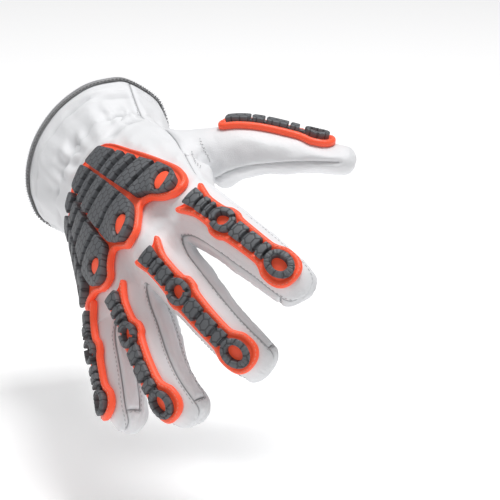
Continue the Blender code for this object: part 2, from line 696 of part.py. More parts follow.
def oval(v, u, along, across, count, turn=0.0):
    turns = np.linspace(0, 2 * np.pi, count, endpoint=False) + turn
    return [(v + along * np.cos(t), u + across * np.sin(t)) for t in turns]


def combined(name, solids, holes):
    """The union of flat solids less the holes, as one bmesh."""
    first = solids[0]
    for kind, others in (("UNION", solids[1:]), ("DIFFERENCE", holes)):
        for other in others:
            m = first.modifiers.new("join", "BOOLEAN")
            m.operation = kind
            m.solver = "EXACT"
            m.object = other
    graph = bpy.context.evaluated_depsgraph_get()
    graph.update()
    bm = bmesh.new()
    bm.from_object(first, graph)
    for obj in solids + holes:
        bpy.data.objects.remove(obj)
    return bm


def bent(name, bm, chart, v_cuts=(), u_cuts=()):
    """Cuts a flat solid where it has to bend, lays it on the skin and makes it an object."""
    for axis, values in ((0, v_cuts), (1, u_cuts)):
        for value in values:
            point = [0.0, 0.0, 0.0]
            normal = [0.0, 0.0, 0.0]
            point[axis] = value
            normal[axis] = 1.0
            bmesh.ops.bisect_plane(bm, geom=bm.verts[:] + bm.edges[:] + bm.faces[:], dist=0.25,
                                   plane_co=point, plane_no=normal)
    bmesh.ops.triangulate(bm, faces=bm.faces[:])
    bm.verts.index_update()
    points = [chart.at(*v.co) for v in bm.verts]
    faces = [tuple(v.index for v in f.verts) for f in bm.faces]
    bm.free()
    return make_object(name, to_row(points), faces)


def marks(strip, chart):
    at = {key: chart.along(strip[word]) for key, word in (("S", "start"), ("M", "middle"), ("E", "end"))
          if word in strip}
    return at


def place(at, key, distance):
    """A place along a strip: from one of its marks, or for B as a share of the way between the rings."""
    if key == "B":
        first, last = at["M"] + SPAN_FROM, at["E"] + SPAN_TO
        return first + (last - first) * distance
    return at[key] + distance


def mirrored(half, at, wide):
    right = [(at[k] + d * wide, w * wide, bead) for k, d, w, bead in half]
    left = [(v, -u, bead) for v, u, bead in reversed(right) if u > 0.01]
    return np.array(list(reversed(right + left)))


def base_loops(outline, beads):
    beads = np.broadcast_to(beads, (len(outline),))
    loops = [outline, inset(outline, 0.5 + 1.1 * beads), inset(outline, 1.4 + 2.2 * beads)]
    heights = [0.0, BASE_EDGE + (BEAD_TOP - BASE_EDGE) * beads, BASE_FLOOR]
    return loops, heights


def finger_guard(name, strip, outline, blocks, chart, label):
    at = marks(strip, chart)
    wide = strip["wide"]
    loop = mirrored(outline, at, wide)
    loops, heights = base_loops(loop[:, :2], loop[:, 2])
    bm = bmesh.new()
    flat_plate(bm, loops, heights)
    first, last = at["S"], at["E"] + 10
    bent(label + "_guard_base", bm, chart, np.arange(first + 8, last, 8.2), (-8.0, -2.8, 2.8, 8.0))
    web = [(at["S"] + 1.5, 2.4), (at["S"] + 8, 2.8), (at["E"] - 5, 2.8)]
    loop = anticlockwise([(v, u * wide) for v, u in web] + [(v, -u * wide) for v, u in reversed(web)])
    solids = [plate_object("web", [loop] * 2, [TREAD_LOW, TREAD_WEB])]
    gaps = []
    for k1, d1, k2, d2, w1, w2 in blocks:
        a, b = place(at, k1, d1), place(at, k2, d2)
        box = anticlockwise([(a, w1 * wide), (b, w2 * wide), (b, -w2 * wide), (a, -w1 * wide)])
        solids.append(plate_object("block", [box, box], [TREAD_LOW + 0.3, TREAD_TOP]))
        gaps.append(b + 0.6)
    holes = []
    for key, size in (("M", RING_MIDDLE), ("E", RING_END)):
        if key in at:
            ring = oval(at[key], 0, size[0] * wide, size[1] * wide, 12, 0.262)
            solids.append(plate_object("ring", [ring, ring], [TREAD_LOW + 0.2, TREAD_TOP]))
            small = oval(at[key], 0, RING_HOLE[0], RING_HOLE[1] * wide, 8)
            holes.append(plate_object("hole", [small, small], [0.0, 9.0]))
    bm = combined("tread", solids, holes)
    bent(label + "_guard_tread", bm, chart, gaps[:-1], ())


def knuckle_guard(chart):
    start = chart.along(0.0)
    rows = np.array(GUARD_OUTLINE, float)
    loop = anticlockwise(rows[:, :2] + (start, 0))
    beads = rows[:, 2] if np.allclose(loop[0], rows[0, :2] + (start, 0)) else rows[::-1, 2]
    loops, heights = base_loops(loop, beads)
    bm = bmesh.new()
    flat_plate(bm, loops, heights)
    cuts = start + np.array([-60, -36, -20, -8, 1])
    bent("knuckle_guard_base", bm, chart, cuts, (-53, -47, -41, -34, -26, -17, -8, 1, 10, 19, 28, 37, 45, 50))
    for name, lobe in LOBES.items():
        edge = anticlockwise(np.array(lobe["edge"], float) + (start, 0))
        body = plate_object("body", [edge, edge], [TREAD_LOW, LOBE_TOP])
        hole = oval(lobe["hole"][0] + start, *lobe["hole"][1:], 10)
        cutters = [plate_object("hole", [hole, hole], [0.0, 12.0])]
        lean = lobe["lean"]
        low, high = edge[:, 1].min() - 3, edge[:, 1].max() + 3
        middle = (low + high) / 2
        for x in lobe["cuts"]:
            slot = []
            for side, u in ((-1.2, low), (1.2, low), (1.2, high), (-1.2, high)):
                slot.append((start + x + side + lean * (u - middle), u))
            slot = anticlockwise(slot)
            cutters.append(plate_object("groove", [slot, slot], [TREAD_WEB - 0.05, 12.0]))
        bm = combined(name, [body], cutters)
        u_cuts = [u for u in np.arange(-48, 49, 8.0) if edge[:, 1].min() + 2 < u < edge[:, 1].max() - 2]
        v_cuts = [start + x for x in lobe["cuts"]] + [start + lobe["hole"][0] - 9]
        bent(name, bm, chart, v_cuts, u_cuts)


def binding(cage_points, normals):
    """The grey binding round the cuff's edge, a plain band just past the leather."""
    rim = np.asarray(cage_points[:26])
    n = np.asarray(normals[:26])
    axis = unit(CUFF_AXIS)
    rings = []
    for out, back in ((1.0, 0.35), (1.0, 4.2), (-2.7, 4.2), (-2.7, 0.35)):
        flat = unit(n - np.outer(n @ axis, axis))
        rings.append(rim + flat * out - axis * back)
    points = np.concatenate(rings)
    faces = []
    for r in range(4):
        for k in range(26):
            m = (k + 1) % 26
            s = (r + 1) % 4
            faces.append((s * 26 + k, s * 26 + m, r * 26 + m, r * 26 + k))
    return points, faces


PANELS = ["back_leather", "palm_leather", "thumb_leather", "middle_front", "ring_front",
          "fourchette_index_middle", "fourchette_middle_ring", "fourchette_ring_little"]


def main():
    clear_scene()
    points, faces, tags = build_cage()
    faces = check_facing(faces, points)
    cage = fitted_cage(points, faces, tags, PANELS)
    verts, quads, panels, normals, edges = subdivided(cage, faces, tags, PANELS, 1)
    fine, fine_quads, _, fine_normals, _ = subdivided(cage, faces, tags, PANELS, 3)
    for k, name in enumerate(PANELS):
        panel = leather_panel(name, k, faces, tags, edges,
                              verts, quads, panels, normals, fine_normals[: len(cage)])
        make_object(name, to_row(panel[0]), panel[1])
    points, faces = binding(verts[:26], fine_normals[:26])
    make_object("cuff_binding", to_row(points), faces)
    bvh = BVHTree.FromPolygons([tuple(p) for p in fine], fine_quads)
    for name in ORDER:
        finger_guard(name, STRIPS[name], BASE_OUTLINE, BLOCKS, finger_chart(name, bvh), name)
    finger_guard("thumb", THUMB_STRIP, THUMB_OUTLINE, THUMB_BLOCKS, thumb_chart(bvh), "thumb")
    knuckle_guard(palm_chart(bvh))


main()
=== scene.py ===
"""Impact work glove for the right hand: white leather, red and grey moulded guards."""

import bmesh
import bpy
import numpy as np
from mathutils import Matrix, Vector, noise
from mathutils.bvhtree import BVHTree
from mathutils.kdtree import KDTree


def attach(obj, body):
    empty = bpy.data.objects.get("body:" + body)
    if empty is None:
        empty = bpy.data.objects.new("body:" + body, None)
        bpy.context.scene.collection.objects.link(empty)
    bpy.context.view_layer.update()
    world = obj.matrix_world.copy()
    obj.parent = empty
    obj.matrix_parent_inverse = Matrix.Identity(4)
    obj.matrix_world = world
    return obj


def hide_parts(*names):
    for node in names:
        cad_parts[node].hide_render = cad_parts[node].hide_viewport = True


bl_info = {
    "name": "Impact Glove",
    "version": (1, 0, 0),
    "blender": (4, 5, 0),
    "location": "3D View > Sidebar > Glove",
    "description": "Builds a leather impact glove with moulded guards on its packed frame",
    "category": "Add Mesh",
}

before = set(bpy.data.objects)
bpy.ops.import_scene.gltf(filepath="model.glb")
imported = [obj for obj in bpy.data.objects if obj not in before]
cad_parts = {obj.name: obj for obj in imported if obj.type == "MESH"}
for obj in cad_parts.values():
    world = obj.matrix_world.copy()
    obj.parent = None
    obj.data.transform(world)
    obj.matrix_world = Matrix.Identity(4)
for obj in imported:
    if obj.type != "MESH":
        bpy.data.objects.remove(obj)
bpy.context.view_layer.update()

MM = 0.001
CLEAR = 0.6
CUFF_AXIS = (0.976, 0.212, 0.057)
UP_HINT = (-0.210, 0.807, 0.561)
RIM_CENTRE = (-155.9, -18.7, -13.0)

# Finger joints: metacarpal start, knuckle, middle joint, end joint, tip; arch tilts the back of
# the finger outward (degrees); radii at knuckle, middle joint, end joint, near the tip
FINGERS = {
    "index": dict(path=[(-74, 17, -7), (0, 38.2, 1.8), (38.5, 47.7, -14.9), (62.4, 53.2, -26.2),
                        (82.5, 54.6, -44.6)],
                  arch=-20, radii=(16.0, 14.6, 13.4, 12.4)),
    "middle": dict(path=[(-74, 5, -3), (4, 10.6, 6.4), (45.5, 10.6, -15.5), (73.3, 10.6, -29.4),
                         (90.8, 10.5, -51.2)],
                   arch=-1, radii=(16.0, 14.6, 13.4, 12.4)),
    "ring": dict(path=[(-74, -8, -5), (-1, -16.6, 0.0), (39.5, -25.9, -14.6),
                       (66.7, -32.5, -22.0), (88.5, -36.1, -39.3)],
                 arch=9, radii=(15.5, 14.2, 13.0, 12.0)),
    "little": dict(path=[(-74, -20, -10), (-11, -37.0, -5.0), (18.8, -52.0, -12.9),
                         (36.6, -60.5, -18.9), (57.5, -71.5, -25.6)],
                   arch=23, radii=(14.0, 13.0, 12.0, 11.0)),
}
ORDER = ["index", "middle", "ring", "little"]
THUMB = dict(path=[(-74, 17, -14), (-54.4, 63.1, -33.4), (-41.8, 84.0, -60.0), (-32.4, 99.5, -89.3)],
             normal=(0.015, 0.385, 0.923), radii=(19.0, 16.5, 15.0, 13.6))
# How far the nail side of the thumb is turned from its normal, and how thin it is toward its tip
NAIL_TURN = 28
THUMB_THIN = dict(at=(50, 74, 94, 112), share=(1.0, 0.86, 0.66, 0.64))

# Palm and cuff rows, from the cuff edge forward: distance behind the knuckles, centre, half width
# toward the thumb, half width toward the little finger, half height on the back, half height on
# the palm side, exponent of the outline, share of the finger shape in it
ROWS = [
    dict(x=-156, y=-18.7, z=-13.0, wr=52, wu=52, hb=41, hp=41, m=2.0, even=1.0, mix=0.0),
    dict(x=-135, y=-14.2, z=-11.8, wr=47.5, wu=48.5, hb=37, hp=36.5, m=2.0, even=1.0, mix=0.0),
    dict(x=-113, y=-9.4, z=-10.5, wr=42.5, wu=45, hb=32.5, hp=31, m=2.1, even=0.9, mix=0.0),
    dict(x=-97, y=-5.9, z=-10.0, wr=43, wu=45, hb=31, hp=30, m=2.2, even=0.7, mix=0.0),
    dict(x=-81, y=-2.4, z=-9.5, wr=45.5, wu=46, hb=29.5, hp=29, m=2.3, even=0.4, mix=0.0),
    dict(x=-62, y=0.5, z=-8.6, wr=47.5, wu=49, hb=28.5, hp=28, m=2.4, even=0.15, mix=0.0),
    dict(x=-42, y=1.5, z=-7.0, wr=49, wu=51.5, hb=27, hp=25, m=2.5, even=0.0, mix=0.0),
    dict(x=-23, y=2.0, z=-5.0, wr=51, wu=52.5, hb=25, hp=21, m=2.6, even=0.0, mix=0.15),
    dict(x=-6, y=2.0, z=-3.5, wr=53, wu=52.5, hb=23.0, hp=18, m=2.7, even=0.0, mix=0.5),
    dict(x=8, y=2.0, z=-5.0, wr=55, wu=53.5, hb=20.0, hp=16.5, m=2.8, even=0.0, mix=0.85),
]
# Where the webs lie along each finger, from its knuckle, and how far each web's edge is below the
# finger's back and above its front
CROTCH = {"index": 20.0, "middle": 20.5, "ring": 21.0, "little": 19.0}
WEB_DROP = {0: (7.5, 9.0), 1: (7.5, 9.0), 2: (7.0, 8.5)}
# Where the rings of the skin lie along each finger and the thumb, and the palm rows at the thumb's root
FINGER_STEPS = {"index": (32, 45, 60, 76, 90), "middle": (33, 49, 66, 84, 99),
                "ring": (32, 46, 62, 78, 93), "little": (29, 40, 51, 63, 74)}
THUMB_ROWS = (4, 6)
THUMB_STEPS = (39, 55, 74, 94, 112.5)
# Finger guards: where the strip starts, its middle ring and its end ring, along the finger from
# the knuckle, and the strip's width against the index finger's
STRIPS = {
    "index": dict(start=13.9, middle=42.4, end=80.0, wide=1.0),
    "middle": dict(start=13.5, middle=46.6, end=88.3, wide=1.0),
    "ring": dict(start=13.3, middle=42.7, end=83.7, wide=0.96),
    "little": dict(start=9.5, middle=34.4, end=65.0, wide=0.86),
}
# The thumb's strip is measured from the thumb's knuckle
THUMB_STRIP = dict(start=-4.0, end=43.5, wide=0.92)
# Heights of the guards over the skin
BASE_FLOOR = 1.2
BASE_EDGE = 1.7
BEAD_TOP = 3.0
TREAD_WEB = 2.9
TREAD_TOP = 5.4
LOBE_TOP = 6.2
# Half sizes of the treads' rings and their holes, and where the blocks between two rings start and end
RING_MIDDLE = (8.2, 5.5)
RING_END = (8.0, 5.6)
RING_HOLE = (4.5, 2.9)
SPAN_FROM = 9.6
SPAN_TO = -8.9

# Half outline of a finger guard: distance from the start (S), middle ring (M) or end ring (E), half width
# and how much border bead there is
BASE_OUTLINE = [
    ("S", 1.5, 0.0, 0), ("S", 0.0, 4.8, 0), ("S", -3.5, 8.0, 0.9), ("S", -1.5, 10.2, 1), ("S", 4.0, 8.6, 1),
    ("S", 11.0, 6.9, 1), ("M", -7.5, 7.0, 1), ("M", -3.0, 9.0, 1), ("M", 3.0, 9.1, 1), ("M", 8.5, 7.6, 1),
    ("E", -14.0, 6.9, 1), ("E", -8.5, 7.7, 1), ("E", -3.5, 10.0, 1), ("E", 3.5, 10.1, 1), ("E", 8.4, 7.8, 1),
    ("E", 11.2, 3.2, 1)]
THUMB_OUTLINE = [
    ("S", -3.5, 2.5, 0.6), ("S", -1.0, 6.2, 1), ("S", 8.0, 7.4, 1), ("E", -17.0, 7.4, 1), ("E", -9.5, 8.2, 1),
    ("E", -4.0, 10.4, 1), ("E", 4.0, 10.6, 1), ("E", 9.4, 8.2, 1), ("E", 12.4, 3.4, 1)]
# Blocks of a tread: from, to, half width at each end; B is the share of the way between the two rings
BLOCKS = [("S", 1.4, "S", 8.8, 4.2, 3.4), ("S", 10.6, "S", 14.6, 3.7, 3.8), ("S", 16.4, "M", -9.6, 3.8, 3.7),
          ("B", 0.0, "B", 0.31, 3.8, 3.7), ("B", 0.4, "B", 0.73, 3.7, 3.7), ("B", 0.82, "B", 1.0, 3.7, 3.7)]
THUMB_BLOCKS = [("S", 2.0, "S", 15.0, 3.4, 4.0), ("S", 16.6, "S", 23.0, 4.0, 4.0),
                ("S", 24.6, "E", -17.0, 4.0, 4.0), ("E", -15.4, "E", -10.4, 4.0, 4.0)]

# Knuckle guard, on a map of the back of the hand: forward, toward the thumb, and how much border bead
GUARD_OUTLINE = [
    (-87, 15.5, 0.2), (-60, 29.5, 0.5), (-38, 40.5, 0.8), (-20, 48.5, 1), (-6, 53, 1), (4, 54.5, 1),
    (10, 51.5, 1), (9.5, 45, 1), (3, 36.5, 1), (-4.5, 29, 1), (-5, 23.5, 1), (3, 20.6, 1), (11, 17, 1),
    (14, 11.5, 1), (11.5, 5, 1), (3, -1.5, 1), (-2, -7.5, 1), (3, -13.5, 1), (9.5, -18, 1),
    (10.5, -23.5, 1), (6, -29.5, 1), (-1, -35.5, 1), (-3, -42.5, 1), (-5.5, -50, 1), (-13, -56.5, 1),
    (-26, -58, 1), (-46, -52.5, 0.8), (-78, -43, 0.2),
    (-81, -28, 0.1), (-86, -21, 0.1), (-91, -10, 0.1), (-90, 1, 0.1)]
# Each lobe's outline, its hole's middle and size, where its grooves cross its middle and how they lean
LOBES = {
    "knuckle_lobe_index": dict(
        edge=[(-84.5, 12.5), (-60, 24), (-40, 33), (-22, 42), (-8, 47.4), (1.5, 49.6), (5.8, 47.4),
              (4.4, 43), (-1, 36.4), (-8.4, 30), (-12, 22.5), (-45, 12.2), (-84.5, 0.4)],
        hole=(-5.5, 41.2, 6.2, 4.1), cuts=(-66, -54, -41, -23), lean=-0.2),
    "knuckle_lobe_middle": dict(
        edge=[(-86.5, -2.2), (-46, 10), (-20, 17), (-8.5, 19.4), (1, 17.2), (8, 14.4), (9.9, 10.8),
              (7.4, 6.2), (-1, 0.5), (-6.8, -5.4), (-39, -10.6), (-58, -13.4), (-82, -14.8)],
        hole=(-0.9, 10.0, 6.0, 3.9), cuts=(-72, -60, -44.5, -22.5), lean=-0.12),
    "knuckle_lobe_ring": dict(
        edge=[(-82, -17.4), (-58, -16.0), (-39, -13.2), (-8, -8.4), (-0.5, -15.6), (5.6, -20.2),
              (6.1, -23.2), (2.8, -27.2), (-3.4, -32.2), (-12, -33.2), (-45, -29.2), (-80, -26.6)],
        hole=(-4.6, -20.8, 5.0, 3.7), cuts=(-71, -58, -42, -22), lean=-0.05),
    "knuckle_lobe_little": dict(
        edge=[(-77, -29.2), (-45, -31.8), (-13, -35.8), (-8, -41), (-9, -49), (-15.5, -53),
              (-27, -54), (-46, -48.6), (-75, -39.4)],
        hole=(-17.5, -45.5, 4.4, 3.7), cuts=(-65, -53, -41, -28), lean=0.05),
}
# Turns of the eight points round a finger, from its back toward the thumb
RING_ANGLES = (66, 23, -23, -66, -114, -157, 157, 114)


def unit(v):
    v = np.asarray(v, float)
    return v / np.maximum(np.linalg.norm(v, axis=-1, keepdims=True), 1e-12)


def polyline_at(points, s):
    """A point on the polyline, s from its second point; it runs on straight past both ends."""
    points = np.asarray(points, float)
    steps = np.linalg.norm(np.diff(points, axis=0), axis=1)
    marks = np.concatenate([[0], np.cumsum(steps)]) - steps[0]
    k = int(np.clip(np.searchsorted(marks, s) - 1, 0, len(steps) - 1))
    return points[k] + (points[k + 1] - points[k]) * (s - marks[k]) / steps[k]


def path_length(points):
    points = np.asarray(points, float)
    return float(np.linalg.norm(np.diff(points, axis=0), axis=1)[1:].sum())


def path_frame(points, normal, s, blur=9.0):
    """Centre, direction, back normal and side (toward the thumb) of a smoothed polyline at s."""
    marks = np.linspace(-blur, blur, 7)
    centre = np.mean([polyline_at(points, s + m) for m in marks], axis=0)
    ahead = np.mean([polyline_at(points, s + m + 1.5) for m in marks], axis=0)
    behind = np.mean([polyline_at(points, s + m - 1.5) for m in marks], axis=0)
    along = unit(ahead - behind)
    side = unit(np.cross(normal, along))
    return centre, along, np.cross(along, side), side


def finger_normal(name):
    a = np.radians(FINGERS[name]["arch"])
    return np.array([0.0, -np.sin(a), np.cos(a)])


def finger_frame(name, s):
    return path_frame(FINGERS[name]["path"], finger_normal(name), s)


def finger_radius(name, s):
    path = np.asarray(FINGERS[name]["path"], float)
    steps = np.linalg.norm(np.diff(path, axis=0), axis=1)[1:]
    marks = np.concatenate([[0], np.cumsum(steps)])
    return float(np.interp(s, marks, FINGERS[name]["radii"]))


def nearest_on_path(points, q):
    """Least distance from the path, and where along it."""
    best = None
    for s in np.arange(-30, path_length(points) + 5, 2.0):
        d = np.linalg.norm(polyline_at(points, s) - q)
        if best is None or d < best[0]:
            best = (d, s)
    return best


def finger_ring(name, s, taper=1.0):
    """Eight points around a finger: thumb side, back pair, little-finger side, front pair."""
    centre, _, up, side = finger_frame(name, s)
    r = finger_radius(name, s) * taper
    k = ORDER.index(name)
    reach = {}
    for sign, other in ((1, k - 1), (-1, k + 1)):
        reach[sign] = r
        if 0 <= other < 4 and s > 0:
            d, so = nearest_on_path(FINGERS[ORDER[other]]["path"], centre)
            ro = finger_radius(ORDER[other], max(so, 0))
            reach[sign] = min(r, (d * r / (r + ro) - 0.9) / 0.94)
    ring = []
    for a in RING_ANGLES:
        t = np.radians(a)
        lateral = np.sin(t) * reach[1 if a > 0 else -1]
        ring.append(centre + side * lateral + up * np.cos(t) * r * (1.0 if abs(a) < 90 else 0.96))
    return ring


def crotch_rings():
    """The finger rings at the webs, with the two web points of each neighbouring pair shared."""
    rings = {name: finger_ring(name, CROTCH[name]) for name in ORDER}
    for w in range(3):
        a, b = rings[ORDER[w]], rings[ORDER[w + 1]]
        fa, fb = finger_frame(ORDER[w], CROTCH[ORDER[w]]), finger_frame(ORDER[w + 1], CROTCH[ORDER[w + 1]])
        middle = (fa[0] + fb[0]) / 2
        up = unit(fa[2] + fb[2])
        r = (finger_radius(ORDER[w], 20) + finger_radius(ORDER[w + 1], 20)) / 2
        top = middle + up * (r - WEB_DROP[w][0])
        low = middle - up * (r * 0.96 - WEB_DROP[w][1])
        a[3], b[0] = top, top
        a[4], b[7] = low, low
    return rings


def row_from_rings(rings):
    """The 26 points of the last palm row: 13 over the back from the thumb side, 13 back along the palm."""
    back = [rings["index"][0]]
    for name in ORDER:
        back += [rings[name][1], rings[name][2], rings[name][3]]
    palm = [rings["little"][4]]
    for name in reversed(ORDER):
        palm += [rings[name][5], rings[name][6], rings[name][7]]
    return back + palm


def palm_shares(last):
    """How far across the hand each of the 26 columns lies, from 1 (thumb side) to -1."""
    y = np.array([p[1] for p in last])
    shares = []
    for half in (y[:13], y[13:]):
        middle = (half.max() + half.min()) / 2
        shares.append((half - middle) / ((half.max() - half.min()) / 2) * 0.972)
    return np.concatenate(shares)


def palm_row(row, shares, rings_row):
    axis = unit(CUFF_AXIS)
    lean = np.clip((-row["x"] - 60) / 40, 0, 1)
    along = unit((1 - lean) * np.array([1.0, 0, 0]) + lean * axis)
    side = unit(np.cross((0, 0, 1), along))
    up = np.cross(along, side)
    centre = np.array([row["x"], row["y"], row["z"]], float)
    points = []
    for j in range(26):
        back = j < 13
        k = j if back else j - 13
        turn = np.radians(13.0 + k * (154.0 / 12))
        even_share = np.cos(turn) if back else -np.cos(turn)
        f = (1 - row["even"]) * shares[j] + row["even"] * even_share
        f = float(np.clip(f, -0.985, 0.985))
        w = row["wr"] if f > 0 else row["wu"]
        h = row["hb"] if back else -row["hp"]
        z = h * (1 - abs(f) ** row["m"]) ** (1 / row["m"])
        arch = (-7.0 if f > 0 else -5.0) * (f ** 2) * (1 - row["even"]) * (1 if back else 0.55)
        slope = 3.0 * f * (1 - row["even"])
        point = centre + side * (f * w) + up * (z + arch + slope)
        if row["mix"] > 0:
            point = (1 - row["mix"]) * point + row["mix"] * rings_row[j]
        points.append(point)
    return points


def knuckle_row(row):
    """What the finger rings would be at this row, so that the palm grows into the fingers."""
    rings = {}
    for name in ORDER:
        start = FINGERS[name]["path"][1]
        rings[name] = finger_ring(name, row["x"] - start[0])
    for w in range(3):
        a, b = rings[ORDER[w]], rings[ORDER[w + 1]]
        lift = unit(finger_normal(ORDER[w]) + finger_normal(ORDER[w + 1]))
        drop = np.interp(row["x"], (-23, 20), (3.0, 6.5))
        r = 15.5
        middle = (finger_frame(ORDER[w], row["x"] - FINGERS[ORDER[w]]["path"][1][0])[0]
                  + finger_frame(ORDER[w + 1], row["x"] - FINGERS[ORDER[w + 1]]["path"][1][0])[0]) / 2
        top = middle + lift * (r - drop)
        low = middle - lift * (r - drop)
        a[3], b[0] = top, top
        a[4], b[7] = low, low
    return row_from_rings(rings)


def thumb_frame(s):
    return path_frame(THUMB["path"], THUMB["normal"], s)


def nail_axes(up, side):
    """The thumb's nail direction and the direction across it."""
    a = np.radians(NAIL_TURN)
    return up * np.cos(a) + side * np.sin(a), side * np.cos(a) - up * np.sin(a)


def thumb_ring(s, taper=1.0):
    path = np.asarray(THUMB["path"], float)
    steps = np.linalg.norm(np.diff(path, axis=0), axis=1)
    marks = np.concatenate([[0], np.cumsum(steps)])
    r = float(np.interp(s, marks, THUMB["radii"])) * taper
    centre, _, up, side = thumb_frame(s - steps[0])
    wide = np.interp(s, (30, 60), (1.12, 1.0))
    nail, _ = nail_axes(up, side)
    thin = 1 - float(np.interp(s, THUMB_THIN["at"], THUMB_THIN["share"]))
    points = []
    for a in (45, 0, -45, -90, -135, 180, 135, 90):
        out = side * np.sin(np.radians(a)) * r * wide + up * np.cos(np.radians(a)) * r
        points.append(centre + out - nail * (out @ nail) * thin)
    return points


def tip_cap(add, ring, faces, tag_back, tag_front, centre, along, reach):
    """A small ring and three faces that round off a finger's end."""
    inner = []
    for i in ring:
        p = add.points[i]
        flat = p - along * np.dot(p - centre, along)
        inner.append(add(centre + (flat - centre) * 0.56 + along * reach))
    tags = [tag_back, tag_back, tag_back, tag_front, tag_front, tag_front, tag_front, tag_front]
    for k in range(8):
        faces.append(((ring[k], ring[(k + 1) % 8], inner[(k + 1) % 8], inner[k]), tags[k]))
    faces.append(((inner[3], inner[2], inner[1], inner[0]), tag_back))
    faces.append(((inner[4], inner[3], inner[0], inner[7]), tag_front))
    faces.append(((inner[5], inner[4], inner[7], inner[6]), tag_front))


class Points:
    def __init__(self):
        self.points = []

    def __call__(self, p):
        self.points.append(np.asarray(p, float))
        return len(self.points) - 1


def build_cage():
    """The points that the skin passes through, its faces, and the panel of each face."""
    add = Points()
    faces = []
    rings = crotch_rings()
    last = row_from_rings(rings)
    shares = palm_shares(last)
    rows = []
    for row in ROWS:
        blend = knuckle_row(row) if row["mix"] > 0 else None
        rows.append([add(p) for p in palm_row(row, shares, blend)])
    rows.append([add(p) for p in last])
    hole = {(THUMB_ROWS[0], 24), (THUMB_ROWS[0], 25), (THUMB_ROWS[0] + 1, 24), (THUMB_ROWS[0] + 1, 25)}
    for i in range(len(rows) - 1):
        for j in range(26):
            if (i, j) in hole:
                continue
            tag = "back_leather" if j < 12 else "palm_leather"
            k = (j + 1) % 26
            faces.append(((rows[i][j], rows[i][k], rows[i + 1][k], rows[i + 1][j]), tag))
    a = THUMB_ROWS[0]
    root = [rows[a][0], rows[a + 1][0], rows[a + 2][0], rows[a + 2][25], rows[a + 2][24],
            rows[a + 1][24], rows[a][24], rows[a][25]]
    before = root
    for s in THUMB_STEPS:
        taper = 0.93 if s == THUMB_STEPS[-1] else 1.0
        now = [add(p) for p in thumb_ring(s, taper)]
        for k in range(8):
            faces.append(((before[k], before[(k + 1) % 8], now[(k + 1) % 8], now[k]), "thumb_leather"))
        before = now
    centre, along, _, _ = thumb_frame(THUMB_STEPS[-1] - 53.7)
    tip_cap(add, before, faces, "thumb_leather", "thumb_leather", centre, along, 7.5)
    back = rows[-1][:13]
    palm = rows[-1][13:]
    for k, name in enumerate(ORDER):
        ring = [back[3 * k], back[3 * k + 1], back[3 * k + 2], back[3 * k + 3],
                palm[12 - 3 * k - 3], palm[12 - 3 * k - 2], palm[12 - 3 * k - 1], palm[12 - 3 * k]]
        front = {"middle": "middle_front", "ring": "ring_front"}.get(name, "palm_leather")
        sides = {0: "palm_leather", 1: "fourchette_index_middle", 2: "fourchette_middle_ring",
                 3: "fourchette_ring_little", 4: "palm_leather"}
        tags = ["back_leather"] * 3 + [sides[k + 1]] + [front] * 3 + [sides[k]]
        steps = FINGER_STEPS[name]
        for s in steps:
            taper = 0.95 if s == steps[-1] else 1.0
            now = [add(p) for p in finger_ring(name, s, taper)]
            for c in range(8):
                faces.append(((ring[c], ring[(c + 1) % 8], now[(c + 1) % 8], now[c]), tags[c]))
            ring = now
        centre, along, _, _ = finger_frame(name, steps[-1])
        tip_cap(add, ring, faces, "back_leather", front, centre, along, 6.6)
    used = sorted({i for face, _ in faces for i in face})
    index = {old: new for new, old in enumerate(used)}
    points = np.array([add.points[i] for i in used])
    return points, [tuple(index[i] for i in face) for face, _ in faces], [tag for _, tag in faces]


def subdivided(points, faces, tags, names, level):
    """Vertices, quads, panel numbers and vertex normals of the smooth skin at this level."""
    mesh = bpy.data.meshes.new("skin")
    mesh.from_pydata([tuple(p) for p in points], [], [list(f) for f in faces])
    mesh.polygons.foreach_set("material_index", [names.index(t) for t in tags])
    for _ in names:
        mesh.materials.append(None)
    obj = bpy.data.objects.new("skin", mesh)
    bpy.context.scene.collection.objects.link(obj)
    modifier = obj.modifiers.new("skin", "SUBSURF")
    modifier.levels = level
    modifier.render_levels = level
    modifier.use_limit_surface = True
    modifier.boundary_smooth = "ALL"
    graph = bpy.context.evaluated_depsgraph_get()
    graph.update()
    out = obj.evaluated_get(graph).to_mesh()
    verts = np.empty(len(out.vertices) * 3)
    out.vertices.foreach_get("co", verts)
    normals = np.empty(len(out.vertices) * 3)
    out.vertices.foreach_get("normal", normals)
    quads = [tuple(p.vertices) for p in out.polygons]
    panels = np.empty(len(out.polygons), int)
    out.polygons.foreach_get("material_index", panels)
    edges = [tuple(e.vertices) for e in mesh.edges]
    obj.evaluated_get(graph).to_mesh_clear()
    bpy.data.objects.remove(obj)
    bpy.data.meshes.remove(mesh)
    return verts.reshape(-1, 3), quads, panels, normals.reshape(-1, 3), edges


def fitted_cage(points, faces, tags, names):
    """Moves the cage until the smooth skin passes through the design points."""
    cage = points.copy()
    for _ in range(4):
        verts = subdivided(cage, faces, tags, names, 1)[0]
        cage += 0.85 * (points - verts[: len(points)])
    return cage


def check_facing(faces, points):
    """Turns all faces the same way, outward."""
    bm = bmesh.new()
    verts = [bm.verts.new(tuple(p)) for p in points]
    for f in faces:
        bm.faces.new([verts[i] for i in f])
    bmesh.ops.recalc_face_normals(bm, faces=bm.faces)
    bm.verts.index_update()
    bm.faces.index_update()
    top = max(bm.faces, key=lambda f: f.calc_center_median().z)
    flip = top.normal.z < 0
    out = []
    for f in bm.faces:
        loop = [v.index for v in f.verts]
        out.append(tuple(reversed(loop)) if flip else tuple(loop))
    bm.free()
    return out


def to_row(points):
    x = unit(CUFF_AXIS)
    z = np.asarray(UP_HINT, float)
    z = unit(z - x * np.dot(z, x))
    y = np.cross(z, x)
    local = np.asarray(points, float) - np.asarray(RIM_CENTRE)
    return np.stack([local @ x, local @ y, local @ z], axis=1) * MM


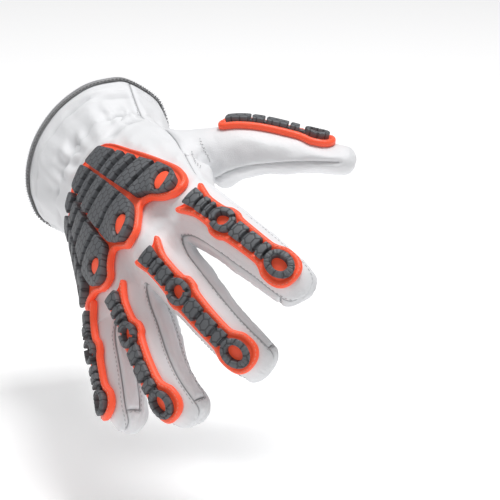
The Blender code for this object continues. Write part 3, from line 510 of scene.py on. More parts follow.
class Chart:
    """A flat map of the skin: distance forward and distance toward the thumb give a point and a normal."""

    def __init__(self, stations, frames, bvh, half, angles, step=2.0, clear=CLEAR):
        self.clear = clear
        rows = []
        for centre, up, side in frames:
            hits = []
            for a in angles:
                t = np.radians(a)
                ray = up * np.cos(t) + side * np.sin(t)
                hit = bvh.ray_cast(Vector(centre), Vector(ray), 90.0)[0]
                hits.append(np.array(hit) if hit is not None else np.full(3, np.nan))
            hits = np.array(hits)
            good = ~np.isnan(hits[:, 0])
            hits = hits[good]
            arcs = np.concatenate([[0], np.cumsum(np.linalg.norm(np.diff(hits, axis=0), axis=1))])
            arcs -= np.interp(0.0, np.asarray(angles)[good], arcs)
            self.us = np.arange(-half, half + 0.01, step)
            rows.append(np.stack([np.interp(self.us, arcs, hits[:, k]) for k in range(3)], axis=1))
        rows = np.array(rows)
        middle = rows[:, len(self.us) // 2]
        run = np.concatenate([[0], np.cumsum(np.linalg.norm(np.diff(middle, axis=0), axis=1))])
        self.stations = np.asarray(stations, float)
        self.run = run
        self.vs = np.arange(0, run[-1], step)
        flat = rows.reshape(len(rows), -1)
        even = np.stack([np.interp(self.vs, run, flat[:, k]) for k in range(flat.shape[1])], axis=1)
        self.points = even.reshape(len(self.vs), len(self.us), 3)
        dv = np.gradient(self.points, axis=0)
        du = np.gradient(self.points, axis=1)
        normal = np.cross(dv, du)
        for _ in range(2):
            padded = np.pad(normal, ((1, 1), (1, 1), (0, 0)), mode="edge")
            around = padded[:-2, 1:-1] + padded[2:, 1:-1] + padded[1:-1, :-2] + padded[1:-1, 2:]
            normal = (around + 2 * normal) / 6
        self.normals = unit(normal)

    def along(self, station):
        return float(np.interp(station, self.stations, self.run))

    def at(self, v, u, h):
        v = np.clip((v - self.vs[0]) / (self.vs[1] - self.vs[0]), 0, len(self.vs) - 1.001)
        u = np.clip((u - self.us[0]) / (self.us[1] - self.us[0]), 0, len(self.us) - 1.001)
        i, j = int(v), int(u)
        a, b = v - i, u - j
        out = []
        for grid in (self.points, self.normals):
            low = grid[i, j] * (1 - b) + grid[i, j + 1] * b
            high = grid[i + 1, j] * (1 - b) + grid[i + 1, j + 1] * b
            out.append(low * (1 - a) + high * a)
        return out[0] + unit(out[1]) * (h + self.clear)


def finger_chart(name, bvh):
    stations = np.arange(-2, path_length(FINGERS[name]["path"]) + 1.0, 2.0)
    frames = []
    for s in stations:
        centre, along, up, side = finger_frame(name, min(s, path_length(FINGERS[name]["path"]) - 7))
        lean = np.radians(max(0.0, s - (path_length(FINGERS[name]["path"]) - 7)) * 6.0)
        frames.append((centre, unit(up * np.cos(lean) + along * np.sin(lean)), side))
    return Chart(stations, frames, bvh, 18.0, range(-105, 106, 7), clear=0.95 if name == "little" else CLEAR)


def thumb_chart(bvh):
    stations = np.arange(-14, 68.0, 2.0)
    frames = []
    for s in stations:
        centre, along, up, side = thumb_frame(min(s, 58.0))
        up, side = nail_axes(up, side)
        lean = np.radians(max(0.0, s - 58.0) * 6.0)
        frames.append((centre, unit(up * np.cos(lean) + along * np.sin(lean)), side))
    return Chart(stations, frames, bvh, 18.0, range(-105, 106, 7))


def palm_chart(bvh):
    stations = np.arange(-100, 18.1, 3.0)
    depth = np.interp(stations, (-30, 6), (-16, 3.5))
    frames = [(np.array([s, 0.0, z]), np.array([0, 0, 1.0]), np.array([0, 1.0, 0]))
              for s, z in zip(stations, depth)]
    return Chart(stations, frames, bvh, 66.0, range(-116, 117, 4), step=3.0, clear=1.1)


def inset(loop, distance):
    """The closed outline moved inward; distance may differ from point to point."""
    loop = np.asarray(loop, float)
    before = loop - np.roll(loop, 1, axis=0)
    after = np.roll(loop, -1, axis=0) - loop
    n1 = unit(np.stack([-before[:, 1], before[:, 0]], axis=1))
    n2 = unit(np.stack([-after[:, 1], after[:, 0]], axis=1))
    miter = unit(n1 + n2)
    stretch = 1 / np.clip((miter * n1).sum(axis=1), 0.6, 1)
    return loop + miter * (np.asarray(distance) * stretch)[:, None]


def anticlockwise(loop):
    loop = np.asarray(loop, float)
    x, y = loop[:, 0], loop[:, 1]
    area = (x * np.roll(y, -1) - np.roll(x, -1) * y).sum()
    return loop if area > 0 else loop[::-1]


def flat_plate(bm, loops, heights):
    """A closed plate: the first loop is its underside, the last its top."""
    rings = []
    for loop, h in zip(loops, heights):
        h = np.broadcast_to(h, (len(loop),))
        rings.append([bm.verts.new((p[0], p[1], z)) for p, z in zip(loop, h)])
    bm.faces.new(list(reversed(rings[0])))
    for low, high in zip(rings, rings[1:]):
        for k in range(len(low)):
            n = (k + 1) % len(low)
            bm.faces.new((low[k], low[n], high[n], high[k]))
    bm.faces.new(rings[-1])


def oval(v, u, along, across, count, turn=0.0):
    turns = np.linspace(0, 2 * np.pi, count, endpoint=False) + turn
    return [(v + along * np.cos(t), u + across * np.sin(t)) for t in turns]


def marks(strip, chart):
    """Where the strip's start, middle ring and end ring lie on its chart."""
    return {key: chart.along(strip[word]) for key, word in (("S", "start"), ("M", "middle"), ("E", "end"))
            if word in strip}


def place(at, key, distance):
    """A place along a strip: from one of its marks, or for B as a share of the way between the rings."""
    if key == "B":
        first, last = at["M"] + SPAN_FROM, at["E"] + SPAN_TO
        return first + (last - first) * distance
    return at[key] + distance


def mirrored(half, at, wide):
    right = [(at[k] + d * wide, w * wide, bead) for k, d, w, bead in half]
    left = [(v, -u, bead) for v, u, bead in reversed(right) if u > 0.01]
    return np.array(list(reversed(right + left)))


PANELS = ["back_leather", "palm_leather", "thumb_leather", "middle_front", "ring_front",
          "fourchette_index_middle", "fourchette_middle_ring", "fourchette_ring_little"]
STORE = {}


def settings():
    return bpy.context.scene.glove_sizes


def colours():
    return bpy.context.scene.glove_colours


# The skin


# Distances from the cuff's edge: the elastic's line, the hem's row of stitches and the hem's swell
ELASTIC_AT = 44
HEM_AT = 13.0
SWELL_AT = 6.5


def gather_height(p):
    """Puckers of the elastic at the wrist, and soft waves in the flared cuff."""
    d = (p - np.asarray(RIM_CENTRE)) @ unit(CUFF_AXIS)
    local = p - np.asarray(RIM_CENTRE) - unit(CUFF_AXIS) * d
    turn = np.arctan2(local[2], local[1])
    wander = noise.noise(Vector((p[0] * 0.03, turn * 1.6, 3.0)))
    pucker = np.sin(21 * turn + 2.5 * wander) * 0.55 + np.sin(13 * turn + 4 * wander + 1.0) * 0.45
    near = np.exp(-(((d - ELASTIC_AT) / 13.0) ** 2))
    line = np.exp(-(((d - ELASTIC_AT) / 2.2) ** 2))
    wave = noise.noise(Vector((turn * 1.3, d * 0.018, 7.0))) * 1.7
    wave = wave * np.clip(1.0 - d / 60.0, 0, 1) * np.clip(d / 14.0, 0.1, 1)
    hem = -0.9 * np.exp(-(((d - HEM_AT) / 1.1) ** 2)) + 0.5 * np.exp(-(((d - SWELL_AT) / 5.5) ** 2))
    return (pucker * near * 1.5 - line * 1.6) + wave + hem


def soft_folds(p):
    """Large, low folds of soft leather, longer along the hand than across it."""
    q = Vector((p[0] * 0.022, p[1] * 0.05, p[2] * 0.05))
    a = noise.noise(q)
    b = noise.noise(q * 2.3 + Vector((5.1, 2.2, 8.3)))
    ridge = 1.0 - 2.0 * abs(noise.noise(Vector((p[0] * 0.045 + 3.0, p[1] * 0.05, p[2] * 0.05 + 9.0))))
    return 1.6 * a + 0.9 * b + 0.7 * ridge


# Rows of small gathering stitches at the root of the thumb
GATHER_ROWS = [
    [(-63, 54.8, -10.8), (-54, 54.5, -12.2), (-48, 53.1, -15.3), (-44.3, 51.1, -19.4)],
    [(-50.5, 48.5, -4.8), (-43.9, 48.7, -5.7), (-30.4, 51.0, -3.9), (-25.5, 51.5, -5.8)],
]
# Creases of the palm, the wrist, the cuff and the thumb: path over the skin, how deep and how wide
CREASES = [
    ([(-2, 44, -20), (-18, 22, -22), (-40, 14, -28), (-62, 14, -34), (-84, 8, -36)], 1.5, 2.4),
    ([(8, 20, -18), (-12, -2, -20), (-26, -26, -20), (-34, -44, -14)], 1.2, 2.2),
    ([(10, -4, -16), (2, -22, -17), (-8, -40, -14), (-10, -48, -8)], 0.9, 2.0),
    ([(-40, 44, -22), (-48, 34, -32), (-60, 22, -38)], 1.2, 2.5),
    ([(-30, 49, -4), (-42, 50, -12), (-52, 52, -20)], 1.0, 2.0),
    ([(-84, 40, 2), (-74, 44, 4), (-62, 47, 2)], 0.9, 2.2),
    ([(-96, 24, 16), (-92, 6, 20), (-93, -14, 19), (-98, -32, 12)], 1.0, 2.6),
    ([(-104, 30, 10), (-101, 12, 17), (-102, -8, 19)], 0.8, 2.2),
    ([(-152, -6, 28), (-149, 9, 21), (-147, 24, 9), (-148, 30, -4)], 1.5, 1.8),
    ([(-136, 24, 10), (-124, 25, 9), (-112, 27, 8), (-104, 33, 4)], 1.6, 2.0),
    ([(-128, 14, 16), (-119, 21, 11), (-112, 22, 12)], 1.3, 1.6),
    ([(-118, 34, -4), (-108, 30, 5), (-100, 22, 13), (-94, 14, 17)], 1.3, 2.0),
    ([(-130, -4, 25), (-118, -8, 23), (-106, -6, 21)], 1.1, 2.2),
    ([(-126, -24, 24), (-114, -22, 23), (-104, -26, 20)], 1.0, 2.2),
    ([(-40, 62, -26), (-30, 58, -30), (-22, 52, -30), (-16, 44, -26)], 1.4, 2.4),
    ([(-56, 70, -30), (-50, 76, -36), (-44, 78, -46)], 0.9, 2.2),
    ([(12, 34, 6), (4, 30, 12), (-2, 22, 14)], 0.6, 1.8),
    ([(10, 8, 12), (4, 2, 14), (0, -4, 14)], 0.5, 1.6),
]


def crease_depth(points):
    """Named creases as grooves along short paths over the skin."""
    depth = np.zeros(len(points))
    for path, deep, wide in CREASES:
        dense = []
        for a, b in zip(path, path[1:]):
            for t in np.linspace(0, 1, 14, endpoint=False):
                dense.append(np.array(a) * (1 - t) + np.array(b) * t)
        dense = np.array(dense + [np.array(path[-1], float)])
        fade = np.sin(np.linspace(0.15, np.pi - 0.15, len(dense)))
        near = np.full(len(points), 1e9)
        strength = np.zeros(len(points))
        for q, f in zip(dense, fade):
            d = np.linalg.norm(points - q, axis=1)
            closer = d < near
            near[closer] = d[closer]
            strength[closer] = f
        line = np.maximum(near - 2.5, 0)
        dip = -deep * strength * np.exp(-((line / wide) ** 2))
        depth += dip + 0.45 * deep * strength * np.exp(-(((line - 4.5) / 2.6) ** 2))
    return depth


def finger_folds(points):
    """Creases across the fronts of the finger joints and puckers round each tip."""
    out = np.zeros(len(points))
    for name in ORDER:
        path = FINGERS[name]["path"]
        total = path_length(path)
        joints = np.cumsum(np.linalg.norm(np.diff(np.asarray(path[1:], float), axis=0), axis=1))[:2]
        samples = np.arange(14.0, total + 4, 2.0)
        centres, ups, sides = [], [], []
        for s in samples:
            _, _, up, side = finger_frame(name, min(s, total - 6))
            centres.append(polyline_at(path, s))
            ups.append(up)
            sides.append(side)
        centres, ups, sides = np.array(centres), np.array(ups), np.array(sides)
        near = np.linalg.norm(points - np.array(polyline_at(path, total * 0.6)), axis=1) < total * 0.75
        for i in np.nonzero(near)[0]:
            d = np.linalg.norm(centres - points[i], axis=1)
            k = int(d.argmin())
            if d[k] > 18.5:
                continue
            rel = points[i] - centres[k]
            x, z = rel @ sides[k], rel @ ups[k]
            s = samples[k]
            if 0 < k < len(samples) - 1:
                s = samples[k] + rel @ unit(centres[k + 1] - centres[k - 1])
            turn = np.arctan2(x, z)
            front = np.clip(-np.cos(turn) * 1.4, 0, 1)
            back = np.clip(np.cos(turn) * 1.2, 0, 1)
            for j in joints:
                for off, deep in ((-3.4, 0.7), (0.6, 1.0), (4.6, 0.6)):
                    bow = 1.6 * np.cos(turn * 2 + off)
                    out[i] -= deep * front * np.exp(-(((s - j - off - bow) / 1.3) ** 2))
                out[i] -= 0.35 * back * np.exp(-(((s - j) / 6.0) ** 2))
            tip = np.clip((s - (total - 15)) / 8.0, 0, 1) * np.clip((total + 1.5 - s) / 5.0, 0, 1)
            ripple = np.sin(15 * turn + 0.8 * np.sin(3 * turn)) + 0.4 * np.sin(24 * turn + 1.0)
            out[i] += 0.38 * tip * ripple
    return out


def guard_cover(points):
    """How far each point of the skin lies under a guard, from 0 to 1: no folds lie there."""
    samples = []
    for name in ORDER:
        chart = STORE["charts"][name]
        at = marks(STRIPS[name], chart)
        for v in np.arange(at["S"] - 3, at["E"] + 14, 3.0):
            for u in (-9, -5, 0, 5, 9):
                samples.append(chart.at(v, u * STRIPS[name]["wide"], 0))
    chart = STORE["charts"]["thumb"]
    at = marks(THUMB_STRIP, chart)
    for v in np.arange(at["S"], at["E"] + 13, 3.0):
        for u in (-8, -4, 0, 4, 8):
            samples.append(chart.at(v, u, 0))
    chart = STORE["charts"]["palm"]
    start = chart.along(0.0)
    outline = anticlockwise(np.array(GUARD_OUTLINE)[:, :2])
    for v in np.arange(-90, 13, 4.0):
        for u in np.arange(-57, 55, 4.0):
            if inside_outline(outline, v, u):
                samples.append(chart.at(v + start, u, 0))
    tree = KDTree(len(samples))
    for k, p in enumerate(samples):
        tree.insert(Vector(p), k)
    tree.balance()
    return np.array([np.clip(1.6 - tree.find(Vector(p))[2] / 5.0, 0, 1) for p in points])


def inside_outline(loop, v, u):
    """True where the flat point lies inside the closed outline."""
    x, y = loop[:, 0], loop[:, 1]
    x2, y2 = np.roll(x, -1), np.roll(y, -1)
    crosses = (y > u) != (y2 > u)
    with np.errstate(divide="ignore", invalid="ignore"):
        at = x + (u - y) / (y2 - y) * (x2 - x)
    return bool((crosses & (v < at)).sum() % 2)


def border_chains(quads, count):
    """The open edges of a panel, as runs of points from one cage point to the next."""
    uses = set()
    for q in quads:
        for a, b in zip(q, q[1:] + q[:1]):
            uses.add((a, b))
    follow = {a: b for a, b in uses if (b, a) not in uses}
    chains = {}
    for a in [i for i in follow if i < count]:
        run = [a, follow[a]]
        while run[-1] >= count:
            run.append(follow[run[-1]])
        chains[(a, run[-1])] = run
    return chains


def thumb_seam(smooth_points):
    """Points of the seam that runs along the front of the thumb, just under its middle."""
    out = []
    for s in np.arange(-14.0, 58.0, 0.35):
        centre, _, up, side = thumb_frame(s)
        nail, across = nail_axes(up, side)
        low = np.radians(np.interp(s, (-14, 20, 58), (32, 16, -4)))
        ray = -across * np.cos(low) - nail * np.sin(low)
        hit, _, _, _ = smooth_points.ray_cast(Vector(centre), Vector(ray))
        if hit is not None:
            out.append(np.array(hit))
    STORE["thumb_seam"] = out
    return out


def build_skin():
    """Fits the cage, subdivides it and works out the height of every seam and of the folds."""
    if "fine" in STORE:
        return
    level = 4
    points, faces, tags = build_cage()
    faces = check_facing(faces, points)
    cage = fitted_cage(points, faces, tags, PANELS)
    smooth, smooth_quads, _, _, _ = subdivided(cage, faces, tags, PANELS, 3)
    bvh = BVHTree.FromPolygons([tuple(p) for p in smooth], smooth_quads)
    STORE["charts"] = {name: finger_chart(name, bvh) for name in ORDER}
    STORE["charts"]["thumb"] = thumb_chart(bvh)
    STORE["charts"]["palm"] = palm_chart(bvh)
    fine, quads, panels, normals, _ = subdivided(cage, faces, tags, PANELS, level)
    inner, inner_quads, inner_panels, inner_normals, _ = subdivided(cage, faces, tags, PANELS, 2)
    count = len(cage)
    chains = {}
    for k in range(len(PANELS)):
        mine = [q for q, p in zip(quads, panels) if p == k]
        chains[k] = border_chains(mine, count)
    seam_points = {}
    for k, runs in chains.items():
        for run in runs.values():
            edge = RIM_CENTRE @ unit(CUFF_AXIS) + 2
            if all(fine[i] @ unit(CUFF_AXIS) < edge for i in (run[0], run[-1])):
                continue
            for i in run:
                seam_points[i] = fine[i]
    extra = thumb_seam(smooth_points=BVHTree.FromPolygons([tuple(p) for p in fine], quads))
    tree = KDTree(len(seam_points) + len(extra))
    for i, p in seam_points.items():
        tree.insert(Vector(p), i)
    for p in extra:
        tree.insert(Vector(p), 0)
    tree.balance()
    seam = np.array([tree.find(Vector(p))[2] for p in fine])
    s = settings()
    groove = -s.seam_depth * 1000 * np.exp(-((seam / 0.95) ** 2))
    groove = groove + 0.32 * np.exp(-(((seam - 2.8) / 1.5) ** 2))
    cover = guard_cover(fine)
    folds = np.array([soft_folds(p) + gather_height(p) for p in fine]) * s.fold_height
    folds += crease_depth(fine) + finger_folds(fine)
    folds = folds * (1 - cover) - 0.35 * cover
    from_rim = (fine - np.asarray(RIM_CENTRE)) @ unit(CUFF_AXIS)
    inland = np.clip((from_rim - 2.0) / 8.0, 0, 1)
    calm = 1 - 0.75 * np.exp(-((seam / 3.0) ** 2))
    height = groove * (1 - cover * 0.5) * inland + folds * (calm * inland + 0.15 * (1 - inland))
    pucker = 0.16 * np.sin(fine @ np.array([1.9, 1.3, 1.1])) * np.exp(-(((seam - 1.9) / 1.3) ** 2))
    pucker = pucker * (1 - cover) * inland
    height += pucker
    moved = fine + normals * height[:, None]
    STORE.update(fine=moved, quads=quads, panels=panels, normals=normals, chains=chains, count=count,
                 height=height, seam=seam, inner=inner, inner_quads=inner_quads,
                 inner_panels=inner_panels, inner_normals=inner_normals)
    STORE["moved_bvh"] = BVHTree.FromPolygons([tuple(p) for p in moved], quads)


def panel_mesh(name):
    """A leather panel: the folded outside, a plain inside, closed along its edges."""
    k = PANELS.index(name)
    mine = [q for q, p in zip(STORE["quads"], STORE["panels"]) if p == k]
    inside = [q for q, p in zip(STORE["inner_quads"], STORE["inner_panels"]) if p == k]
    outer_runs = STORE["chains"][k]
    inner_runs = border_chains(inside, STORE["count"])
    used = sorted({i for q in mine for i in q})
    outer = {old: n for n, old in enumerate(used)}
    fine = STORE["fine"]
    shift = {}
    rim = {i for run in outer_runs.values() for i in run}
    sums = {i: [np.zeros(3), 0] for i in rim}
    for q in mine:
        hit = [i for i in q if i in rim]
        if hit:
            middle = np.mean(fine[list(q)], axis=0)
            for i in hit:
                sums[i][0] += middle
                sums[i][1] += 1
    for i, (total, n) in sums.items():
        inward = total / n - fine[i]
        shift[i] = unit(inward) * 0.12
    points = [fine[i] + shift.get(i, 0) for i in used]
    # Painted shade: the leather is darkened where it dips into folds and creases, and in a thin line deep
    # along each seam.
    painted_shade = np.clip(-0.22 * STORE["height"] - 0.08, 0, 0.45) + 0.62 * np.exp(-((STORE["seam"] / 0.36) ** 2))
    shade = [float(min(painted_shade[i], 0.95)) for i in used]
    wall = settings().leather_wall * 1000 + 0.5
    back = {}
    for i in sorted({i for q in inside for i in q}):
        back[i] = len(points)
        points.append(STORE["inner"][i] - STORE["inner_normals"][i] * wall)
        shade.append(0.0)
    faces = [tuple(outer[i] for i in q) for q in mine]
    faces += [tuple(back[i] for i in reversed(q)) for q in inside]
    for ends, run in outer_runs.items():
        low = inner_runs[ends]
        step = (len(run) - 1) // (len(low) - 1)
        for n in range(len(low) - 1):
            for m in range(step):
                a, b = run[n * step + m], run[n * step + m + 1]
                faces.append((outer[b], outer[a], back[low[n]]))
            faces.append((outer[run[(n + 1) * step]], back[low[n]], back[low[n + 1]]))
    return points, faces, shade


def finished(name, points, faces, material, body="root", angle=None):
    """Makes a mesh object in the row frame, shaded smooth, riding on the glove."""
    mesh = bpy.data.meshes.new(name)
    mesh.from_pydata([tuple(p) for p in to_row(points)], [], [list(f) for f in faces])
    mesh.materials.append(material)
    mesh.shade_smooth()
    if angle:
        mesh.set_sharp_from_angle(angle=np.radians(angle))
    obj = bpy.data.objects.new(name, mesh)
    bpy.context.scene.collection.objects.link(obj)
    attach(obj, body)
    return obj


# Material groups


def group_tree(name, inputs, outputs):
    """An empty shader group with its sockets; each entry is a name, a socket type and a default."""
    tree = bpy.data.node_groups.new(name, "ShaderNodeTree")
    for label, kind, value in inputs:
        socket = tree.interface.new_socket(name=label, in_out="INPUT", socket_type=kind)
        if value is not None:
            socket.default_value = value
    for label, kind in outputs:
        tree.interface.new_socket(name=label, in_out="OUTPUT", socket_type=kind)
    return tree, tree.nodes.new("NodeGroupInput"), tree.nodes.new("NodeGroupOutput")


def math_node(tree, operation, a, b=None, clamp=False):
    node = tree.nodes.new("ShaderNodeMath")
    node.operation = operation
    node.use_clamp = clamp
    for socket, value in zip(node.inputs, (a, b)):
        if value is None:
            continue
        if isinstance(value, (int, float)):
            socket.default_value = value
        else:
            tree.links.new(value, socket)
    return node.outputs[0]


def vector_node(tree, operation, a, b=None, scale=None):
    node = tree.nodes.new("ShaderNodeVectorMath")
    node.operation = operation
    for socket, value in zip(node.inputs, (a, b)):
        if value is None:
            continue
        if isinstance(value, tuple):
            socket.default_value = value
        else:
            tree.links.new(value, socket)
    if scale is not None:
        node.inputs["Scale"].default_value = scale
    return node.outputs["Value"] if operation in ("DOT_PRODUCT", "LENGTH") else node.outputs["Vector"]


def grain_group():
    """Fine grain of leather or rubber: a cell pattern over soft noise."""
    name = "Surface Grain"
    if name in bpy.data.node_groups:
        return bpy.data.node_groups[name]
    tree, given, result = group_tree(
        name,
        [("Vector", "NodeSocketVector", None), ("Cell Scale", "NodeSocketFloat", 900.0),
         ("Noise Scale", "NodeSocketFloat", 300.0), ("Blotch Scale", "NodeSocketFloat", 30.0)],
        [("Height", "NodeSocketFloat"), ("Blotch", "NodeSocketFloat")])
    cells = tree.nodes.new("ShaderNodeTexVoronoi")
    cells.feature = "DISTANCE_TO_EDGE"
    tree.links.new(given.outputs["Vector"], cells.inputs["Vector"])
    tree.links.new(given.outputs["Cell Scale"], cells.inputs["Scale"])
    fine = tree.nodes.new("ShaderNodeTexNoise")
    fine.inputs["Detail"].default_value = 4.0
    tree.links.new(given.outputs["Vector"], fine.inputs["Vector"])
    tree.links.new(given.outputs["Noise Scale"], fine.inputs["Scale"])
    edge = math_node(tree, "MULTIPLY", cells.outputs["Distance"], 2.2, clamp=True)
    height = math_node(tree, "ADD", math_node(tree, "MULTIPLY", edge, 0.55),
                       math_node(tree, "MULTIPLY", fine.outputs["Fac"], 0.6))
    tree.links.new(height, result.inputs["Height"])
    blotch = tree.nodes.new("ShaderNodeTexNoise")
    blotch.inputs["Detail"].default_value = 3.0
    tree.links.new(given.outputs["Vector"], blotch.inputs["Vector"])
    tree.links.new(given.outputs["Blotch Scale"], blotch.inputs["Scale"])
    tree.links.new(blotch.outputs["Fac"], result.inputs["Blotch"])
    return tree


def honeycomb_group():
    """Thin lines of a honeycomb on a flat map, as a mask."""
    name = "Honeycomb Lines"
    if name in bpy.data.node_groups:
        return bpy.data.node_groups[name]
    tree, given, result = group_tree(
        name,
        [("Vector", "NodeSocketVector", None), ("Cell Size", "NodeSocketFloat", 4.0),
         ("Line Width", "NodeSocketFloat", 0.05)],
        [("Lines", "NodeSocketFloat")])
    divide = tree.nodes.new("ShaderNodeCombineXYZ")
    split = tree.nodes.new("ShaderNodeSeparateXYZ")
    tree.links.new(given.outputs["Vector"], split.inputs[0])
    for k in (0, 1):
        share = math_node(tree, "DIVIDE", split.outputs[k], given.outputs["Cell Size"])
        tree.links.new(share, divide.inputs[k])
    p = divide.outputs[0]
    half_row = 0.8660254

    def folded(vector):
        wrapped = tree.nodes.new("ShaderNodeVectorMath")
        wrapped.operation = "WRAP"
        tree.links.new(vector, wrapped.inputs[0])
        wrapped.inputs[1].default_value = (0.5, half_row, 0.5)
        wrapped.inputs[2].default_value = (-0.5, -half_row, -0.5)
        return wrapped.outputs["Vector"]

    a = folded(p)
    b = folded(vector_node(tree, "SUBTRACT", p, (0.5, half_row, 0.0)))
    closer = math_node(tree, "LESS_THAN", vector_node(tree, "DOT_PRODUCT", a, a),
                       vector_node(tree, "DOT_PRODUCT", b, b))
    pick = tree.nodes.new("ShaderNodeMix")
    pick.data_type = "VECTOR"
    tree.links.new(closer, pick.inputs["Factor"])
    tree.links.new(b, pick.inputs[4])
    tree.links.new(a, pick.inputs[5])
    g = vector_node(tree, "ABSOLUTE", pick.outputs[1])
    slant = vector_node(tree, "DOT_PRODUCT", g, (0.5, half_row, 0.0))
    parts = tree.nodes.new("ShaderNodeSeparateXYZ")
    tree.links.new(g, parts.inputs[0])
    reach = math_node(tree, "MAXIMUM", slant, parts.outputs[0])
    edge = math_node(tree, "SUBTRACT", 0.5, reach)
    inside = math_node(tree, "DIVIDE", edge, given.outputs["Line Width"], clamp=True)
    line = math_node(tree, "SUBTRACT", 1.0, inside, clamp=True)
    tree.links.new(line, result.inputs["Lines"])
    return tree


def placed(tree, group, **values):
    node = tree.nodes.new("ShaderNodeGroup")
    node.node_tree = group
    for key, value in values.items():
        node.inputs[key.replace("_", " ")].default_value = value
    return node


def mix_colour(tree, factor, a, b):
    node = tree.nodes.new("ShaderNodeMix")
    node.data_type = "RGBA"
    if isinstance(factor, (int, float)):
        node.inputs["Factor"].default_value = factor
    else:
        tree.links.new(factor, node.inputs["Factor"])
    for socket, value in ((node.inputs[6], a), (node.inputs[7], b)):
        if isinstance(value, tuple):
            socket.default_value = value
        else:
            tree.links.new(value, socket)
    return node.outputs[2]


def start_material(name, roughness, **sockets):
    """A new material with its Principled BSDF; returns it, its tree and its shader."""
    found = bpy.data.materials.new(name)
    found.use_nodes = True
    tree = found.node_tree
    shader = tree.nodes["Principled BSDF"]
    shader.inputs["Roughness"].default_value = roughness
    for key, value in sockets.items():
        shader.inputs[key.replace("_", " ")].default_value = value
    return found, tree, shader


def add_bump(tree, shader, height, distance, strength=1.0):
    bump = tree.nodes.new("ShaderNodeBump")
    bump.inputs["Strength"].default_value = strength
    bump.inputs["Distance"].default_value = distance
    tree.links.new(height, bump.inputs["Height"])
    tree.links.new(bump.outputs["Normal"], shader.inputs["Normal"])


def object_grain(tree, cells, noise_scale, blotches):
    """The surface grain laid on the object's own coordinates."""
    where = tree.nodes.new("ShaderNodeTexCoord")
    grain = placed(tree, grain_group(), Cell_Scale=cells, Noise_Scale=noise_scale, Blotch_Scale=blotches)
    tree.links.new(where.outputs["Object"], grain.inputs["Vector"])
    return grain


def leather_material():
    name = "Glove Leather"
    if name in bpy.data.materials:
        return bpy.data.materials[name]
    found, tree, shader = start_material(name, 0.5, Specular_IOR_Level=0.42, Sheen_Weight=0.12)
    grain = object_grain(tree, 1050.0, 420.0, 22.0)
    # Painted shade: this attribute darkens the white toward the seam shade colour in folds, creases and
    # seams.
    low = tree.nodes.new("ShaderNodeAttribute")
    low.attribute_name = "painted_crease_shade"
    white = (*colours().leather, 1.0)
    shade = (*colours().leather_shade, 1.0)
    base = mix_colour(tree, math_node(tree, "MULTIPLY", grain.outputs["Blotch"], 0.35), white, shade)
    painted_shade = mix_colour(tree, low.outputs["Fac"], base, (*colours().seam_shade, 1.0))
    tree.links.new(painted_shade, shader.inputs["Base Color"])
    rough = math_node(tree, "ADD", math_node(tree, "MULTIPLY", grain.outputs["Blotch"], 0.22), 0.40)
    tree.links.new(rough, shader.inputs["Roughness"])
    add_bump(tree, shader, grain.outputs["Height"], 0.00022, 0.8)
    return found


# Painted shade: nearly black colour laid in the floor of the honeycomb's cut lines
HONEYCOMB_LINE_SHADE = (0.02, 0.021, 0.024, 1.0)


def rubber_material(name, colour, worn, honeycomb, roughness):
    """Moulded rubber, with the honeycomb cut into it where that is asked for."""
    if name in bpy.data.materials:
        return bpy.data.materials[name]
    found, tree, shader = start_material(name, roughness, Specular_IOR_Level=0.5)
    grain = object_grain(tree, 1900.0, 700.0, 60.0)
    rubbed = math_node(tree, "MULTIPLY", grain.outputs["Blotch"], 0.6)
    base = mix_colour(tree, rubbed, (*colour, 1.0), (*worn, 1.0))
    height = math_node(tree, "MULTIPLY", grain.outputs["Height"], 0.3)
    if honeycomb:
        flat = tree.nodes.new("ShaderNodeUVMap")
        flat.uv_map = "Flat"
        lines = placed(tree, honeycomb_group(), Cell_Size=4.4, Line_Width=0.125)
        tree.links.new(flat.outputs["UV"], lines.inputs["Vector"])
        # Painted shade: the honeycomb's lines are darkened almost to black, as well as cut in by the bump.
        line_shade = math_node(tree, "MULTIPLY", lines.outputs["Lines"], 0.8)
        base = mix_colour(tree, line_shade, base, HONEYCOMB_LINE_SHADE)
        height = math_node(tree, "SUBTRACT", height, math_node(tree, "MULTIPLY", lines.outputs["Lines"], 1.6))
    tree.links.new(base, shader.inputs["Base Color"])
    rough = math_node(tree, "ADD", math_node(tree, "MULTIPLY", grain.outputs["Blotch"], 0.2), roughness - 0.1)
    tree.links.new(rough, shader.inputs["Roughness"])
    add_bump(tree, shader, height, 0.00018)
    return found


def red_rubber():
    plain, worn = tuple(colours().guard_red), tuple(colours().guard_red_worn)
    found = rubber_material("Guard Red", plain, worn, False, 0.42)
    shader = found.node_tree.nodes["Principled BSDF"]
    # Painted glow: the red rubber emits a little light of its own, so it reads brighter than the lamps alone
    # make it.
    shader.inputs["Emission Color"].default_value = (*colours().guard_red, 1.0)
    shader.inputs["Emission Strength"].default_value = 0.15
    return found


def grey_rubber():
    plain, worn = tuple(colours().guard_grey), tuple(colours().guard_grey_worn)
    return rubber_material("Guard Grey", plain, worn, True, 0.52)


def thread_material(name, colour):
    if name in bpy.data.materials:
        return bpy.data.materials[name]
    found, tree, shader = start_material(name, 0.75, Sheen_Weight=0.3)
    grain = object_grain(tree, 3000.0, 1500.0, 200.0)
    darker = tuple(c * 0.7 for c in colour)
    base = mix_colour(tree, grain.outputs["Blotch"], (*colour, 1.0), (*darker, 1.0))
    tree.links.new(base, shader.inputs["Base Color"])
    add_bump(tree, shader, grain.outputs["Height"], 0.0001)
    return found


